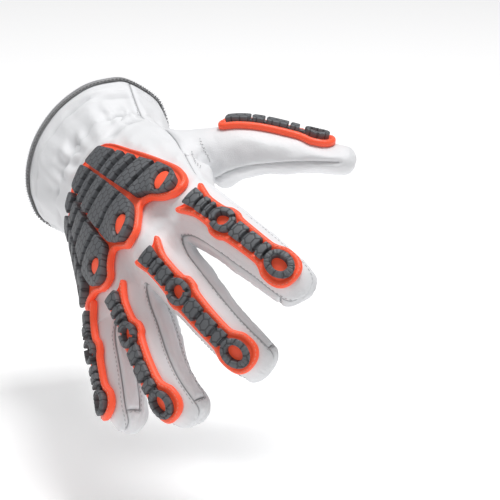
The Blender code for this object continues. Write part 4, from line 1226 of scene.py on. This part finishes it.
def binding_material():
    name = "Cuff Binding"
    if name in bpy.data.materials:
        return bpy.data.materials[name]
    found, tree, shader = start_material(name, 0.85, Sheen_Weight=0.25)
    where = tree.nodes.new("ShaderNodeUVMap")
    where.uv_map = "Flat"
    wave = tree.nodes.new("ShaderNodeTexWave")
    wave.inputs["Scale"].default_value = 3.2
    wave.inputs["Distortion"].default_value = 0.6
    tree.links.new(where.outputs["UV"], wave.inputs["Vector"])
    base = mix_colour(tree, wave.outputs["Fac"], (*colours().binding, 1.0), (*colours().binding_dark, 1.0))
    tree.links.new(base, shader.inputs["Base Color"])
    add_bump(tree, shader, wave.outputs["Fac"], 0.0002)
    return found


# Flat plates laid on the skin


def smooth_loop(loop, per=6):
    """A rounder outline through the same points."""
    loop = np.asarray(loop, float)
    n = len(loop)
    out = []
    for k in range(n):
        p0, p1, p2, p3 = loop[k - 1], loop[k], loop[(k + 1) % n], loop[(k + 2) % n]
        for t in np.linspace(0, 1, per, endpoint=False):
            out.append(0.5 * (2 * p1 + (p2 - p0) * t + (2 * p0 - 5 * p1 + 4 * p2 - p3) * t * t
                              + (3 * p1 - p0 - 3 * p2 + p3) * t ** 3))
    return np.array(out)


def rounded_loop(loop, radius, steps=4):
    """The same outline with its corners rounded."""
    loop = np.asarray(loop, float)
    out = []
    for k in range(len(loop)):
        p, a, b = loop[k], loop[k - 1], loop[(k + 1) % len(loop)]
        ra = min(radius, np.linalg.norm(a - p) * 0.45)
        rb = min(radius, np.linalg.norm(b - p) * 0.45)
        start, end = p + unit(a - p) * ra, p + unit(b - p) * rb
        for t in np.linspace(0, 1, steps + 1):
            out.append((1 - t) ** 2 * start + 2 * t * (1 - t) * p + t * t * end)
    return np.array(out)


class FlatSheet:
    """Collects flat plates, then cuts them to bend and lays them on the skin as one mesh."""

    def __init__(self, chart):
        self.chart = chart
        self.bm = bmesh.new()

    def plate(self, loops, heights):
        flat_plate(self.bm, loops, heights)

    def rounded_block(self, loop, low, top, corner=0.7, edge=0.55):
        loop = rounded_loop(anticlockwise(loop), corner, 3)
        n = len(loop)
        steps = [(0.0, low), (0.0, top - edge), (edge * 0.3, top - edge * 0.3), (edge, top)]
        self.plate([inset(loop, np.full(n, d)) for d, _ in steps], [h for _, h in steps])

    def turned_ring(self, v, u, inner, outer, low, top, notches=(), hatch=0):
        """An oval ring with rounded edges; notches are turns where it is cut down, hatch its radial marks."""
        profile = [(0.0, low), (0.0, top - 0.7), (0.08, top - 0.2), (0.25, top),
                   (0.72, top), (0.92, top - 0.25), (1.0, top - 0.8), (1.0, low)]
        count = 96
        grid = []
        for k in range(count):
            t = 2 * np.pi * k / count
            drop = 0.0
            for notch, width in notches:
                gap = (t - notch + np.pi) % (2 * np.pi) - np.pi
                drop = max(drop, 2.2 * float(abs(gap) < width))
            fine = 0.28 * float(np.cos(hatch * t) > 0.72) if hatch else 0.0
            row = []
            for share, h in profile:
                z = h if h <= low + 0.01 else h - min(drop, h - low - 0.4) - (fine if h > top - 0.3 else 0.0)
                along = inner[0] + (outer[0] - inner[0]) * share
                across = inner[1] + (outer[1] - inner[1]) * share
                row.append(self.bm.verts.new((v + along * np.cos(t), u + across * np.sin(t), z)))
            grid.append(row)
        for k in range(count):
            a, b = grid[k], grid[(k + 1) % count]
            for m in range(len(profile)):
                n = (m + 1) % len(profile)
                self.bm.faces.new((a[m], a[n], b[n], b[m]))

    def lay(self, name, material, spacing=2.0, angle=38):
        bm = self.bm
        bmesh.ops.recalc_face_normals(bm, faces=bm.faces[:])
        co = np.array([v.co for v in bm.verts])
        for axis in (0, 1):
            low, high = co[:, axis].min(), co[:, axis].max()
            for value in np.arange(low + spacing, high, spacing) + 0.013:
                point = [0.0, 0.0, 0.0]
                normal = [0.0, 0.0, 0.0]
                point[axis] = value
                normal[axis] = 1.0
                bmesh.ops.bisect_plane(bm, geom=bm.verts[:] + bm.edges[:] + bm.faces[:], dist=0.02,
                                       plane_co=point, plane_no=normal)
        bmesh.ops.triangulate(bm, faces=bm.faces[:])
        bm.verts.index_update()
        flat = [tuple(v.co) for v in bm.verts]
        points = [self.chart.at(*p) for p in flat]
        faces = [tuple(v.index for v in f.verts) for f in bm.faces]
        bm.free()
        obj = finished(name, points, faces, material, angle=angle)
        layer = obj.data.uv_layers.new(name="Flat")
        loops = np.empty(len(obj.data.loops), int)
        obj.data.loops.foreach_get("vertex_index", loops)
        layer.data.foreach_set("uv", np.array(flat)[loops][:, :2].ravel())
        return obj


# The bead's round section: share of the way in from the edge, and share of the rise to its top
BEAD = [(0.05, 0.0), (0.12, 0.25), (0.45, 0.75), (0.9, 0.97), (1.35, 1.0), (1.8, 0.9), (2.2, 0.55),
        (2.45, 0.15), (2.6, -0.1)]
BEAD_CREST = 1.35


def bead_inset(d, beads):
    """How far in from the outline the bead's section lies at this share, for each point's bead."""
    return 0.1 + d * (0.25 + 1.2 * beads)


def bead_top(beads):
    return BASE_EDGE + (BEAD_TOP - BASE_EDGE) * beads


def bead_loops(outline, beads):
    """Nested outlines and heights of a red base: a round bead along its edge, then its floor."""
    loops, heights = [outline], [np.zeros(len(outline))]
    foot = BASE_FLOOR * 0.8
    for d, rise in BEAD:
        loops.append(inset(outline, bead_inset(d, beads)))
        if rise <= 0:
            heights.append(np.full(len(outline), BASE_FLOOR * 0.6 if d < 1 else BASE_FLOOR))
        else:
            heights.append(foot + (bead_top(beads) - foot) * rise)
    return loops, heights


def remember_border(chart, loop, beads):
    """Keeps the bead's crest line, for the stitches along it."""
    crest = inset(loop, bead_inset(BEAD_CREST, beads))
    STORE.setdefault("bead_paths", []).append((chart, crest, beads))


# Half width of the web that joins a tread's blocks, and the height at which its blocks start
WEB_HALF = 2.6
TREAD_FOOT = BASE_FLOOR + 0.15


def strip_outline(half, at, wide):
    """A strip's smooth outline and how much bead each point has."""
    rows = mirrored(half, at, wide)
    smooth = smooth_loop(rows, 5)
    return smooth[:, :2], np.clip(smooth[:, 2], 0, 1)


def scaled(size, wide):
    return size[0] * wide, size[1] * wide


def strip_guard(strip, outline, blocks, chart, label):
    """A strip guard: the red base and the grey tread on it."""
    at = marks(strip, chart)
    wide = strip["wide"]
    loop, beads = strip_outline(outline, at, wide)
    base = FlatSheet(chart)
    base.plate(*bead_loops(loop, beads))
    red = base.lay(label + "_guard_base_skin", red_rubber(), spacing=1.9, angle=60)
    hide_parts(label + "_guard_base")
    tread = FlatSheet(chart)
    ends = [at["S"] + 2.5]
    if "M" in at:
        ends += [at["M"] - RING_MIDDLE[0] * 0.8, at["M"] + RING_MIDDLE[0] * 0.8]
    ends.append(at["E"] - RING_END[0] * 0.8)
    for a, b in zip(ends[::2], ends[1::2]):
        half = WEB_HALF * wide
        tread.rounded_block([(a, half), (b, half), (b, -half), (a, -half)], BASE_FLOOR + 0.1, TREAD_WEB)
    for n, (k1, d1, k2, d2, w1, w2) in enumerate(blocks):
        a, b = place(at, k1, d1), place(at, k2, d2)
        bow = 0.0 if n == 0 else 0.6
        box = [(a, w1 * wide), (a - bow, 0.0), (a, -w1 * wide),
               (b, -w2 * wide), (b - bow, 0.0), (b, w2 * wide)]
        tread.rounded_block(box, TREAD_FOOT, TREAD_TOP - 0.05 * n)
    if "M" in at:
        tread.turned_ring(at["M"], 0.0, RING_HOLE, scaled(RING_MIDDLE, wide), TREAD_FOOT,
                          TREAD_TOP + 0.2, notches=((0.9, 0.13), (0.9 + np.pi, 0.13)))
    tread.turned_ring(at["E"], 0.0, RING_HOLE, scaled(RING_END, wide), TREAD_FOOT, TREAD_TOP, hatch=18)
    grey = tread.lay(label + "_guard_tread_skin", grey_rubber(), spacing=1.9)
    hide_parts(label + "_guard_tread")
    remember_border(chart, loop, beads)


# The hole near each lobe's end, against the solid's, and the red disc that shows in it
HOLE_FORWARD = -0.4
HOLE_LONGER = 1.1
HOLE_WIDER = 1.25
DISC_GAP = 0.75
DISC_TOP = 4.4
# Half width of the grooves between a lobe's blocks, and of the last one
GROOVE_HALF = 2.8
LAST_GROOVE_HALF = 2.1


def lobe_segments(edge, start, cuts, lean):
    """The lobe's outline cut by its grooves: the pieces from the wrist end to the knuckle."""
    low, high = edge[:, 1].min() - 3, edge[:, 1].max() + 3
    middle = (low + high) / 2
    slant = np.array([lean, 1.0]) / np.hypot(lean, 1)
    across = np.array([slant[1], -slant[0]])
    pieces = []
    marks_at = [None] + list(cuts) + [None]
    for a, b in zip(marks_at, marks_at[1:]):
        bm = bmesh.new()
        bm.faces.new([bm.verts.new((p[0], p[1], 0)) for p in edge])
        for mark, side in ((a, 1), (b, -1)):
            if mark is None:
                continue
            gap = LAST_GROOVE_HALF if mark == cuts[-1] else GROOVE_HALF
            bmesh.ops.bisect_plane(bm, geom=bm.verts[:] + bm.edges[:] + bm.faces[:], dist=1e-4,
                                   plane_co=(start + mark + side * gap, middle, 0),
                                   plane_no=(across[0] * side, across[1] * side, 0), clear_inner=True)
        face = max(bm.faces, key=lambda f: f.calc_area())
        pieces.append(np.array([(v.co.x, v.co.y) for v in face.verts]))
        bm.free()
    return pieces


def with_hole(sheet, loop, hole, low, top, edge=0.8):
    """A block with rounded edges and an oval hole through it, added to the sheet."""
    loop = rounded_loop(anticlockwise(loop), 1.2, 3)
    count = len(loop)
    v, u, along, across = hole
    steps = [(0.0, low), (0.0, top - edge), (edge * 0.3, top - edge * 0.3), (edge, top)]
    outer = [(inset(loop, np.full(count, d)), h) for d, h in steps]
    inner = [(oval(v, u, along + d, across + d, 40), h) for d, h in steps]
    ends = [[], []]
    for rings in (outer, inner):
        rows = [[sheet.bm.verts.new((p[0], p[1], h)) for p in ring] for ring, h in rings]
        for lower, upper in zip(rows, rows[1:]):
            for k in range(len(lower)):
                m = (k + 1) % len(lower)
                sheet.bm.faces.new((lower[k], lower[m], upper[m], upper[k]))
        for end, row in zip(ends, (rows[0], rows[-1])):
            end += [sheet.bm.edges.get((row[k - 1], row[k])) for k in range(len(row))]
    for end in ends:
        bmesh.ops.triangle_fill(sheet.bm, use_beauty=True, use_dissolve=False, edges=end)


def knuckle_pieces():
    chart = STORE["charts"]["palm"]
    start = chart.along(0.0)
    rows = np.array(GUARD_OUTLINE, float)
    area = anticlockwise(rows[:, :2])
    if not np.allclose(area[0], rows[0, :2]):
        rows = rows[::-1]
    smooth = smooth_loop(rows, 5)
    loop = smooth[:, :2] + (start, 0)
    beads = np.clip(smooth[:, 2], 0, 1)
    base = FlatSheet(chart)
    base.plate(*bead_loops(loop, beads))
    holes = {}
    for name, lobe in LOBES.items():
        v, u, along, across = lobe["hole"]
        holes[name] = (v + start + HOLE_FORWARD, u, along * HOLE_LONGER, across * HOLE_WIDER)
        disc = oval(*holes[name][:2], holes[name][2] - DISC_GAP, holes[name][3] - DISC_GAP, 32)
        base.rounded_block(disc, BASE_FLOOR - 0.2, DISC_TOP, corner=0.2, edge=0.5)
    red = base.lay("knuckle_guard_base_skin", red_rubber(), spacing=2.6, angle=60)
    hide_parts("knuckle_guard_base")
    remember_border(chart, loop, beads)
    for name, lobe in LOBES.items():
        edge = anticlockwise(np.array(lobe["edge"], float) + (start, 0))
        round_edge = rounded_loop(edge, 2.6, 3)
        sheet = FlatSheet(chart)
        hole = holes[name]
        web = inset(round_edge, np.full(len(round_edge), 0.3))
        with_hole(sheet, web, hole, BASE_FLOOR + 0.1, TREAD_WEB - 0.2, 0.2)
        pieces = lobe_segments(round_edge, start, lobe["cuts"], lobe["lean"])
        for n, piece in enumerate(pieces):
            top = LOBE_TOP - 0.12 * (len(pieces) - 1 - n)
            if n == len(pieces) - 1:
                with_hole(sheet, piece, hole, BASE_FLOOR + 0.2, top)
            else:
                sheet.rounded_block(piece, BASE_FLOOR + 0.2, top, corner=0.6, edge=0.6)
        grey = sheet.lay(name + "_skin", grey_rubber(), spacing=2.6)
        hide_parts(name)


# Stitches


def stitch_tree():
    """Geometry nodes that set a round-ended stitch at even steps along a path."""
    name = "Stitch Row"
    if name in bpy.data.node_groups:
        return bpy.data.node_groups[name]
    tree = bpy.data.node_groups.new(name, "GeometryNodeTree")
    for label, kind, value in (
        ("Geometry", "NodeSocketGeometry", None),
        ("Pitch", "NodeSocketFloat", 0.0028),
        ("Stitch Length", "NodeSocketFloat", 0.002),
        ("Thread", "NodeSocketFloat", 0.0005),
        ("Slant", "NodeSocketFloat", 0.0),
        ("Material", "NodeSocketMaterial", None),
    ):
        socket = tree.interface.new_socket(name=label, in_out="INPUT", socket_type=kind)
        if value is not None:
            socket.default_value = value
    tree.interface.new_socket(name="Geometry", in_out="OUTPUT", socket_type="NodeSocketGeometry")
    nodes = tree.nodes
    given, result = nodes.new("NodeGroupInput"), nodes.new("NodeGroupOutput")
    curve = nodes.new("GeometryNodeMeshToCurve")
    even = nodes.new("GeometryNodeResampleCurve")
    even.mode = "LENGTH"
    tangent = nodes.new("GeometryNodeInputTangent")
    turn = nodes.new("FunctionNodeAlignRotationToVector")
    turn.axis = "X"
    slant = nodes.new("FunctionNodeRotateRotation")
    slant.rotation_space = "LOCAL"
    angles = nodes.new("ShaderNodeCombineXYZ")
    ball = nodes.new("GeometryNodeMeshUVSphere")
    ball.inputs["Segments"].default_value = 8
    ball.inputs["Rings"].default_value = 5
    ball.inputs["Radius"].default_value = 0.5
    size = nodes.new("ShaderNodeCombineXYZ")
    shape = nodes.new("GeometryNodeTransform")
    copies = nodes.new("GeometryNodeInstanceOnPoints")
    real = nodes.new("GeometryNodeRealizeInstances")
    smooth = nodes.new("GeometryNodeSetShadeSmooth")
    paint = nodes.new("GeometryNodeSetMaterial")
    for source, output, target, socket in (
        (given, "Geometry", curve, "Mesh"),
        (curve, "Curve", even, "Curve"),
        (given, "Pitch", even, "Length"),
        (tangent, "Tangent", turn, "Vector"),
        (turn, "Rotation", slant, "Rotation"),
        (given, "Slant", angles, "Z"),
        (angles, "Vector", slant, "Rotate By"),
        (given, "Stitch Length", size, "X"),
        (given, "Thread", size, "Y"),
        (given, "Thread", size, "Z"),
        (ball, "Mesh", shape, "Geometry"),
        (size, "Vector", shape, "Scale"),
        (even, "Curve", copies, "Points"),
        (shape, "Geometry", copies, "Instance"),
        (slant, "Rotation", copies, "Rotation"),
        (copies, "Instances", real, "Geometry"),
        (real, "Geometry", smooth, "Geometry"),
        (smooth, "Geometry", paint, "Geometry"),
        (given, "Material", paint, "Material"),
        (paint, "Geometry", result, "Geometry"),
    ):
        tree.links.new(source.outputs[output], target.inputs[socket])
    return tree


def stitch_rows(name, paths, material, pitch, length, thread, slant=0.0):
    """One mesh of stitches along several paths, each a list of points in the hand frame in millimetres."""
    points, edges = [], []
    for path in paths:
        first = len(points)
        points += [tuple(p) for p in to_row(path)]
        edges += [(k, k + 1) for k in range(first, len(points) - 1)]
    mesh = bpy.data.meshes.new(name + "_path")
    mesh.from_pydata(points, edges, [])
    obj = bpy.data.objects.new(name + "_path", mesh)
    bpy.context.scene.collection.objects.link(obj)
    modifier = obj.modifiers.new("stitches", "NODES")
    tree = stitch_tree()
    modifier.node_group = tree
    wanted = {"Pitch": pitch * MM, "Stitch Length": length * MM, "Thread": thread * MM, "Slant": slant,
              "Material": material}
    for item in tree.interface.items_tree:
        if item.in_out == "INPUT" and item.name in wanted:
            modifier[item.identifier] = wanted[item.name]
    graph = bpy.context.evaluated_depsgraph_get()
    graph.update()
    done = bpy.data.meshes.new_from_object(obj.evaluated_get(graph))
    done.name = name
    obj.modifiers.clear()
    bpy.data.objects.remove(obj)
    bpy.data.meshes.remove(mesh)
    made = bpy.data.objects.new(name, done)
    bpy.context.scene.collection.objects.link(made)
    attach(made, "root")
    return made


def on_skin(points, lift):
    """Points moved onto the folded skin, standing proud of it."""
    out = []
    for p in points:
        near, normal, _, _ = STORE["moved_bvh"].find_nearest(Vector(p))
        out.append(np.array(near) + np.array(normal) * lift)
    return out


def seam_offset_path(k, other, offset):
    """A row beside the seam between two panels, on panel k's side."""
    runs = STORE["chains"][k]
    twins = {(b, a) for (a, b) in STORE["chains"][other]}
    shared = {ends: run for ends, run in runs.items() if ends in twins}
    paths = []
    follow = {ends[0]: run for ends, run in shared.items()}
    targets = {ends[1] for ends in shared}
    for first in [a for a in follow if a not in targets]:
        line = [first]
        while line[-1] in follow:
            line += follow[line[-1]][1:]
        points = STORE["fine"][line]
        tangent = unit(np.gradient(points, axis=0))
        normal = STORE["normals"][line]
        inward = unit(np.cross(normal, tangent))
        paths.append(points + inward * offset)
    return paths


# Settings and operators


class GloveSizes(bpy.types.PropertyGroup):
    leather_wall: bpy.props.FloatProperty(name="Leather wall", description="Thickness of the leather",
                                          default=0.0017, min=0.001, max=0.003, unit="LENGTH")
    seam_depth: bpy.props.FloatProperty(name="Seam depth", description="How far the leather dips at a seam",
                                        default=0.0012, min=0.0, max=0.003, unit="LENGTH")
    fold_height: bpy.props.FloatProperty(name="Fold height", description="Share of the soft folds' height",
                                         default=1.0, min=0.0, max=2.0, subtype="FACTOR")
    stitch_pitch: bpy.props.FloatProperty(name="Stitch pitch", description="From one stitch to the next",
                                          default=0.0026, min=0.001, max=0.01, unit="LENGTH")
    floor_drop: bpy.props.FloatProperty(name="Floor drop", description="From the glove's origin to the floor",
                                        default=0.150, min=0.12, max=0.5, unit="LENGTH")


# What every colour below shares
PAINT = dict(subtype="COLOR", size=3, min=0, max=1)


class GloveColours(bpy.types.PropertyGroup):
    leather: bpy.props.FloatVectorProperty(
        name="Leather", description="White of the leather",
        default=(0.84, 0.845, 0.86), **PAINT)
    leather_shade: bpy.props.FloatVectorProperty(
        name="Leather shade", description="Cooler patches of the leather",
        default=(0.70, 0.71, 0.735), **PAINT)
    # Painted shade: the colour that the leather is darkened toward in seams and creases.
    seam_shade: bpy.props.FloatVectorProperty(
        name="Seam shade", description="Colour deep in seams and creases",
        default=(0.30, 0.305, 0.32), **PAINT)
    guard_red: bpy.props.FloatVectorProperty(
        name="Guard red", description="Red-orange of the guard bases",
        default=(1.0, 0.095, 0.038), **PAINT)
    guard_red_worn: bpy.props.FloatVectorProperty(
        name="Guard red, worn", description="Paler red where it is rubbed",
        default=(1.0, 0.15, 0.06), **PAINT)
    guard_grey: bpy.props.FloatVectorProperty(
        name="Guard grey", description="Dark grey of the treads and lobes",
        default=(0.100, 0.106, 0.116), **PAINT)
    guard_grey_worn: bpy.props.FloatVectorProperty(
        name="Guard grey, worn", description="Paler grey where it is rubbed",
        default=(0.175, 0.181, 0.192), **PAINT)
    binding: bpy.props.FloatVectorProperty(
        name="Binding", description="Grey of the cuff's binding",
        default=(0.75, 0.755, 0.77), **PAINT)
    binding_dark: bpy.props.FloatVectorProperty(
        name="Binding, dark", description="Dark threads of the binding",
        default=(0.45, 0.455, 0.47), **PAINT)
    thread: bpy.props.FloatVectorProperty(
        name="Leather thread", description="Thread of the leather's seams",
        default=(0.52, 0.525, 0.54), **PAINT)
    bead_thread: bpy.props.FloatVectorProperty(
        name="Bead thread", description="Stitches along the guards' borders",
        default=(1.0, 0.33, 0.22), **PAINT)


class GLOVE_OT_leather(bpy.types.Operator):
    """Make the leather panels with their seams and folds"""

    bl_idname = "glove.leather"
    bl_label = "Leather panels"

    def execute(self, context):
        build_skin()
        for name in PANELS:
            points, faces, shade = panel_mesh(name)
            obj = finished(name + "_skin", points, faces, leather_material(), angle=70)
            # The attribute holds the painted shade of the folds, creases and seams.
            layer = obj.data.attributes.new("painted_crease_shade", "FLOAT", "POINT")
            layer.data.foreach_set("value", [float(h) for h in shade])
            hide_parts(name)
        return {"FINISHED"}


# Section of the binding round the leather's edge: outward from it, and forward along the cuff
BINDING_SECTION = [(-2.7, 0.2), (-2.9, -1.5), (-2.6, -3.4), (-1.6, -4.3), (-0.4, -4.4), (0.7, -3.8),
                   (1.3, -2.4), (1.25, -0.6), (1.2, 1.4), (1.0, 2.6), (0.55, 2.9), (0.35, 1.6), (0.3, 0.4)]
# The rim's line is averaged over this many points on each side
RIM_BLUR = 6


class GLOVE_OT_binding(bpy.types.Operator):
    """Make the grey binding round the cuff's opening"""

    bl_idname = "glove.binding"
    bl_label = "Cuff binding"

    def execute(self, context):
        build_skin()
        axis = unit(CUFF_AXIS)
        runs = {}
        for k in (PANELS.index("back_leather"), PANELS.index("palm_leather")):
            for ends, run in STORE["chains"][k].items():
                if all((STORE["fine"][i] - np.asarray(RIM_CENTRE)) @ axis < 3 for i in ends):
                    runs[ends[0]] = run
        first = min(runs)
        line = [first]
        while True:
            line += runs[line[-1]][1:]
            if line[-1] == first:
                break
        centre_line = STORE["fine"][line[:-1]]
        outward = STORE["normals"][line[:-1]]
        reach = range(-RIM_BLUR, RIM_BLUR + 1)
        centre_line = np.mean([np.roll(centre_line, k, axis=0) for k in reach], axis=0)
        outward = np.mean([np.roll(outward, k, axis=0) for k in reach], axis=0)
        flat = unit(outward - np.outer(outward @ axis, axis))
        rings = [centre_line + flat * out + axis * ahead for out, ahead in BINDING_SECTION]
        n = len(centre_line)
        points = np.concatenate(rings)
        faces = []
        for r in range(len(rings)):
            for k in range(n):
                m, s = (k + 1) % n, (r + 1) % len(rings)
                faces.append((r * n + k, r * n + m, s * n + m, s * n + k))
        bm = bmesh.new()
        verts = [bm.verts.new(tuple(p)) for p in points]
        for f in faces:
            bm.faces.new([verts[i] for i in f])
        bmesh.ops.recalc_face_normals(bm, faces=bm.faces[:])
        bm.verts.index_update()
        faces = [tuple(v.index for v in f.verts) for f in bm.faces]
        bm.free()
        obj = finished("cuff_binding_skin", points, faces, binding_material(), angle=70)
        layer = obj.data.uv_layers.new(name="Flat")
        arc = np.concatenate([[0], np.cumsum(np.linalg.norm(np.diff(centre_line, axis=0), axis=1))])
        uv = np.array([(arc[i % n], 1.5 * (i // n)) for i in range(len(points))])
        loops = np.empty(len(obj.data.loops), int)
        obj.data.loops.foreach_get("vertex_index", loops)
        layer.data.foreach_set("uv", uv[loops].ravel())
        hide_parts("cuff_binding")
        thread = thread_material("Binding Thread", tuple(0.3 * c for c in colours().binding_dark))
        pale = thread_material("Binding Pale Thread", (0.55, 0.56, 0.58))
        ring = np.concatenate([centre_line, centre_line[:1]])
        out = np.concatenate([flat, flat[:1]])
        stitch_rows("binding_hatch", [ring + out * 1.25 - axis * 0.6], pale, 1.7, 3.6, 0.5, slant=1.2)
        stitch_rows("binding_edge_row", [ring + out * 1.3 + axis * 2.6], thread, 2.4, 2.0, 0.55)
        stitch_rows("binding_inner_hatch", [ring - out * 2.95 - axis * 1.6], pale, 1.7, 3.4, 0.5, slant=1.2)
        return {"FINISHED"}


class GLOVE_OT_knuckle_guard(bpy.types.Operator):
    """Make the knuckle guard: its red base and four grey lobes"""

    bl_idname = "glove.knuckle_guard"
    bl_label = "Knuckle guard"

    def execute(self, context):
        build_skin()
        knuckle_pieces()
        return {"FINISHED"}


class GLOVE_OT_strip_guards(bpy.types.Operator):
    """Make the red and grey strip guards of the fingers and the thumb"""

    bl_idname = "glove.strip_guards"
    bl_label = "Finger and thumb guards"

    def execute(self, context):
        build_skin()
        for name in ORDER:
            strip_guard(STRIPS[name], BASE_OUTLINE, BLOCKS, STORE["charts"][name], name)
        strip_guard(THUMB_STRIP, THUMB_OUTLINE, THUMB_BLOCKS, STORE["charts"]["thumb"], "thumb")
        return {"FINISHED"}


# Panels with a row of stitches along their seam, as places in PANELS
SEWN_PANELS = ((0, 1), (0, 5), (0, 6), (0, 7), (3, 5), (3, 6), (4, 6), (4, 7),
               (1, 5), (1, 7), (1, 2), (1, 3), (1, 4))


class GLOVE_OT_stitching(bpy.types.Operator):
    """Sew the seams of the leather and the borders of the guards"""

    bl_idname = "glove.stitching"
    bl_label = "Stitching"

    def execute(self, context):
        build_skin()
        pitch = settings().stitch_pitch * 1000
        thread = thread_material("Leather Thread", tuple(colours().thread))
        rows = []
        for a, b in SEWN_PANELS:
            for path in seam_offset_path(a, b, 1.7):
                rows.append(on_skin(path, 0.12))
        stitch_rows("leather_seam_rows", rows, thread, pitch, 1.7, 0.42)
        bead = thread_material("Bead Thread", tuple(colours().bead_thread))
        borders = []
        for chart, loop, beads in STORE["bead_paths"]:
            run = []
            for p, b in zip(np.vstack([loop, loop[:1]]), np.append(beads, beads[0])):
                if b > 0.45:
                    run.append(chart.at(p[0], p[1], bead_top(b) + 0.02))
                else:
                    if len(run) > 3:
                        borders.append(run)
                    run = []
            if len(run) > 3:
                borders.append(run)
        stitch_rows("guard_border_rows", borders, bead, 2.3, 1.5, 0.45)
        dots = []
        for row in GATHER_ROWS:
            for away in (0.0, 2.0, 4.0):
                path = [np.array(p, float) - (away, 0, 0.4 * away) for p in row]
                dense = [polyline_at(path, d) for d in np.arange(0, path_length(path), 1.0)]
                dots.append(on_skin(dense, 0.1))
        stitch_rows("thumb_gather_rows", dots, thread, 2.4, 0.9, 0.5)
        return {"FINISHED"}


# The stage: half the floor's side, each light's name, place, size and power, and the camera
FLOOR_HALF = 6.0
LIGHTS = (
    ("key", (0.20, 0.42, 1.70), 0.7, 22.0),
    ("fill", (1.9, -1.2, 1.2), 1.2, 4.0),
    ("top", (-0.5, -0.4, 1.9), 1.2, 10.0),
)
LIT_POINT = (0.12, 0.0, -0.02)
CAMERA_PLACE = (1.172, -0.288, 0.373)
CAMERA_LOOK = (-0.893, 0.296, -0.340)
CAMERA_LENS = 144.4


class GLOVE_OT_stage(bpy.types.Operator):
    """Set the floor, the soft light and the camera"""

    bl_idname = "glove.stage"
    bl_label = "Stage"

    def execute(self, context):
        scene = context.scene
        floor_z = -settings().floor_drop
        mesh = bpy.data.meshes.new("floor")
        r = FLOOR_HALF
        corners = [(-r, -r, floor_z), (r, -r, floor_z), (r, r, floor_z), (-r, r, floor_z)]
        mesh.from_pydata(corners, [], [(0, 1, 2, 3)])
        floor = bpy.data.objects.new("floor", mesh)
        scene.collection.objects.link(floor)
        paint, _, shader = start_material("Floor", 0.9)
        shader.inputs["Base Color"].default_value = (0.95, 0.95, 0.955, 1.0)
        shader.inputs["Emission Color"].default_value = (1.0, 1.0, 1.0, 1.0)
        shader.inputs["Emission Strength"].default_value = 0.22
        mesh.materials.append(paint)
        world = bpy.data.worlds.new("studio")
        scene.world = world
        world.use_nodes = True
        world.node_tree.nodes["Background"].inputs["Color"].default_value = (1.0, 1.0, 1.0, 1.0)
        world.node_tree.nodes["Background"].inputs["Strength"].default_value = 0.26
        for name, at, size, power in LIGHTS:
            light = bpy.data.lights.new(name, "AREA")
            light.shape = "DISK"
            light.size = size
            light.energy = power
            lamp = bpy.data.objects.new(name, light)
            lamp.location = at
            lamp.rotation_euler = (Vector(LIT_POINT) - Vector(at)).to_track_quat("-Z", "Y").to_euler()
            scene.collection.objects.link(lamp)
        eye = bpy.data.cameras.new("camera")
        eye.lens = CAMERA_LENS
        eye.sensor_width = 36.0
        eye.clip_end = 20.0
        camera = bpy.data.objects.new("camera", eye)
        camera.location = CAMERA_PLACE
        camera.rotation_euler = Vector(CAMERA_LOOK).to_track_quat("-Z", "Y").to_euler()
        scene.collection.objects.link(camera)
        scene.camera = camera
        scene.view_settings.view_transform = "Standard"
        scene.view_settings.exposure = 0.0
        return {"FINISHED"}


class GLOVE_PT_panel(bpy.types.Panel):
    """Lists the glove's pieces, sizes and colours"""

    bl_idname = "GLOVE_PT_panel"
    bl_label = "Impact Glove"
    bl_space_type = "VIEW_3D"
    bl_region_type = "UI"
    bl_category = "Glove"

    def draw(self, context):
        for group in (context.scene.glove_sizes, context.scene.glove_colours):
            column = self.layout.column()
            for key in group.__annotations__:
                column.prop(group, key)
        column = self.layout.column()
        for operator in (GLOVE_OT_stage, GLOVE_OT_leather, GLOVE_OT_binding, GLOVE_OT_knuckle_guard,
                         GLOVE_OT_strip_guards, GLOVE_OT_stitching):
            column.operator(operator.bl_idname)


CLASSES = (GloveSizes, GloveColours, GLOVE_OT_leather, GLOVE_OT_binding, GLOVE_OT_knuckle_guard,
           GLOVE_OT_strip_guards, GLOVE_OT_stitching, GLOVE_OT_stage, GLOVE_PT_panel)


def register():
    for cls in CLASSES:
        bpy.utils.register_class(cls)
    bpy.types.Scene.glove_sizes = bpy.props.PointerProperty(type=GloveSizes)
    bpy.types.Scene.glove_colours = bpy.props.PointerProperty(type=GloveColours)


def unregister():
    del bpy.types.Scene.glove_colours
    del bpy.types.Scene.glove_sizes
    for cls in reversed(CLASSES):
        bpy.utils.unregister_class(cls)


def main():
    register()
    bpy.ops.glove.stage()
    bpy.ops.glove.leather()
    bpy.ops.glove.binding()
    bpy.ops.glove.knuckle_guard()
    bpy.ops.glove.strip_guards()
    bpy.ops.glove.stitching()


if __name__ == "__main__":
    main()
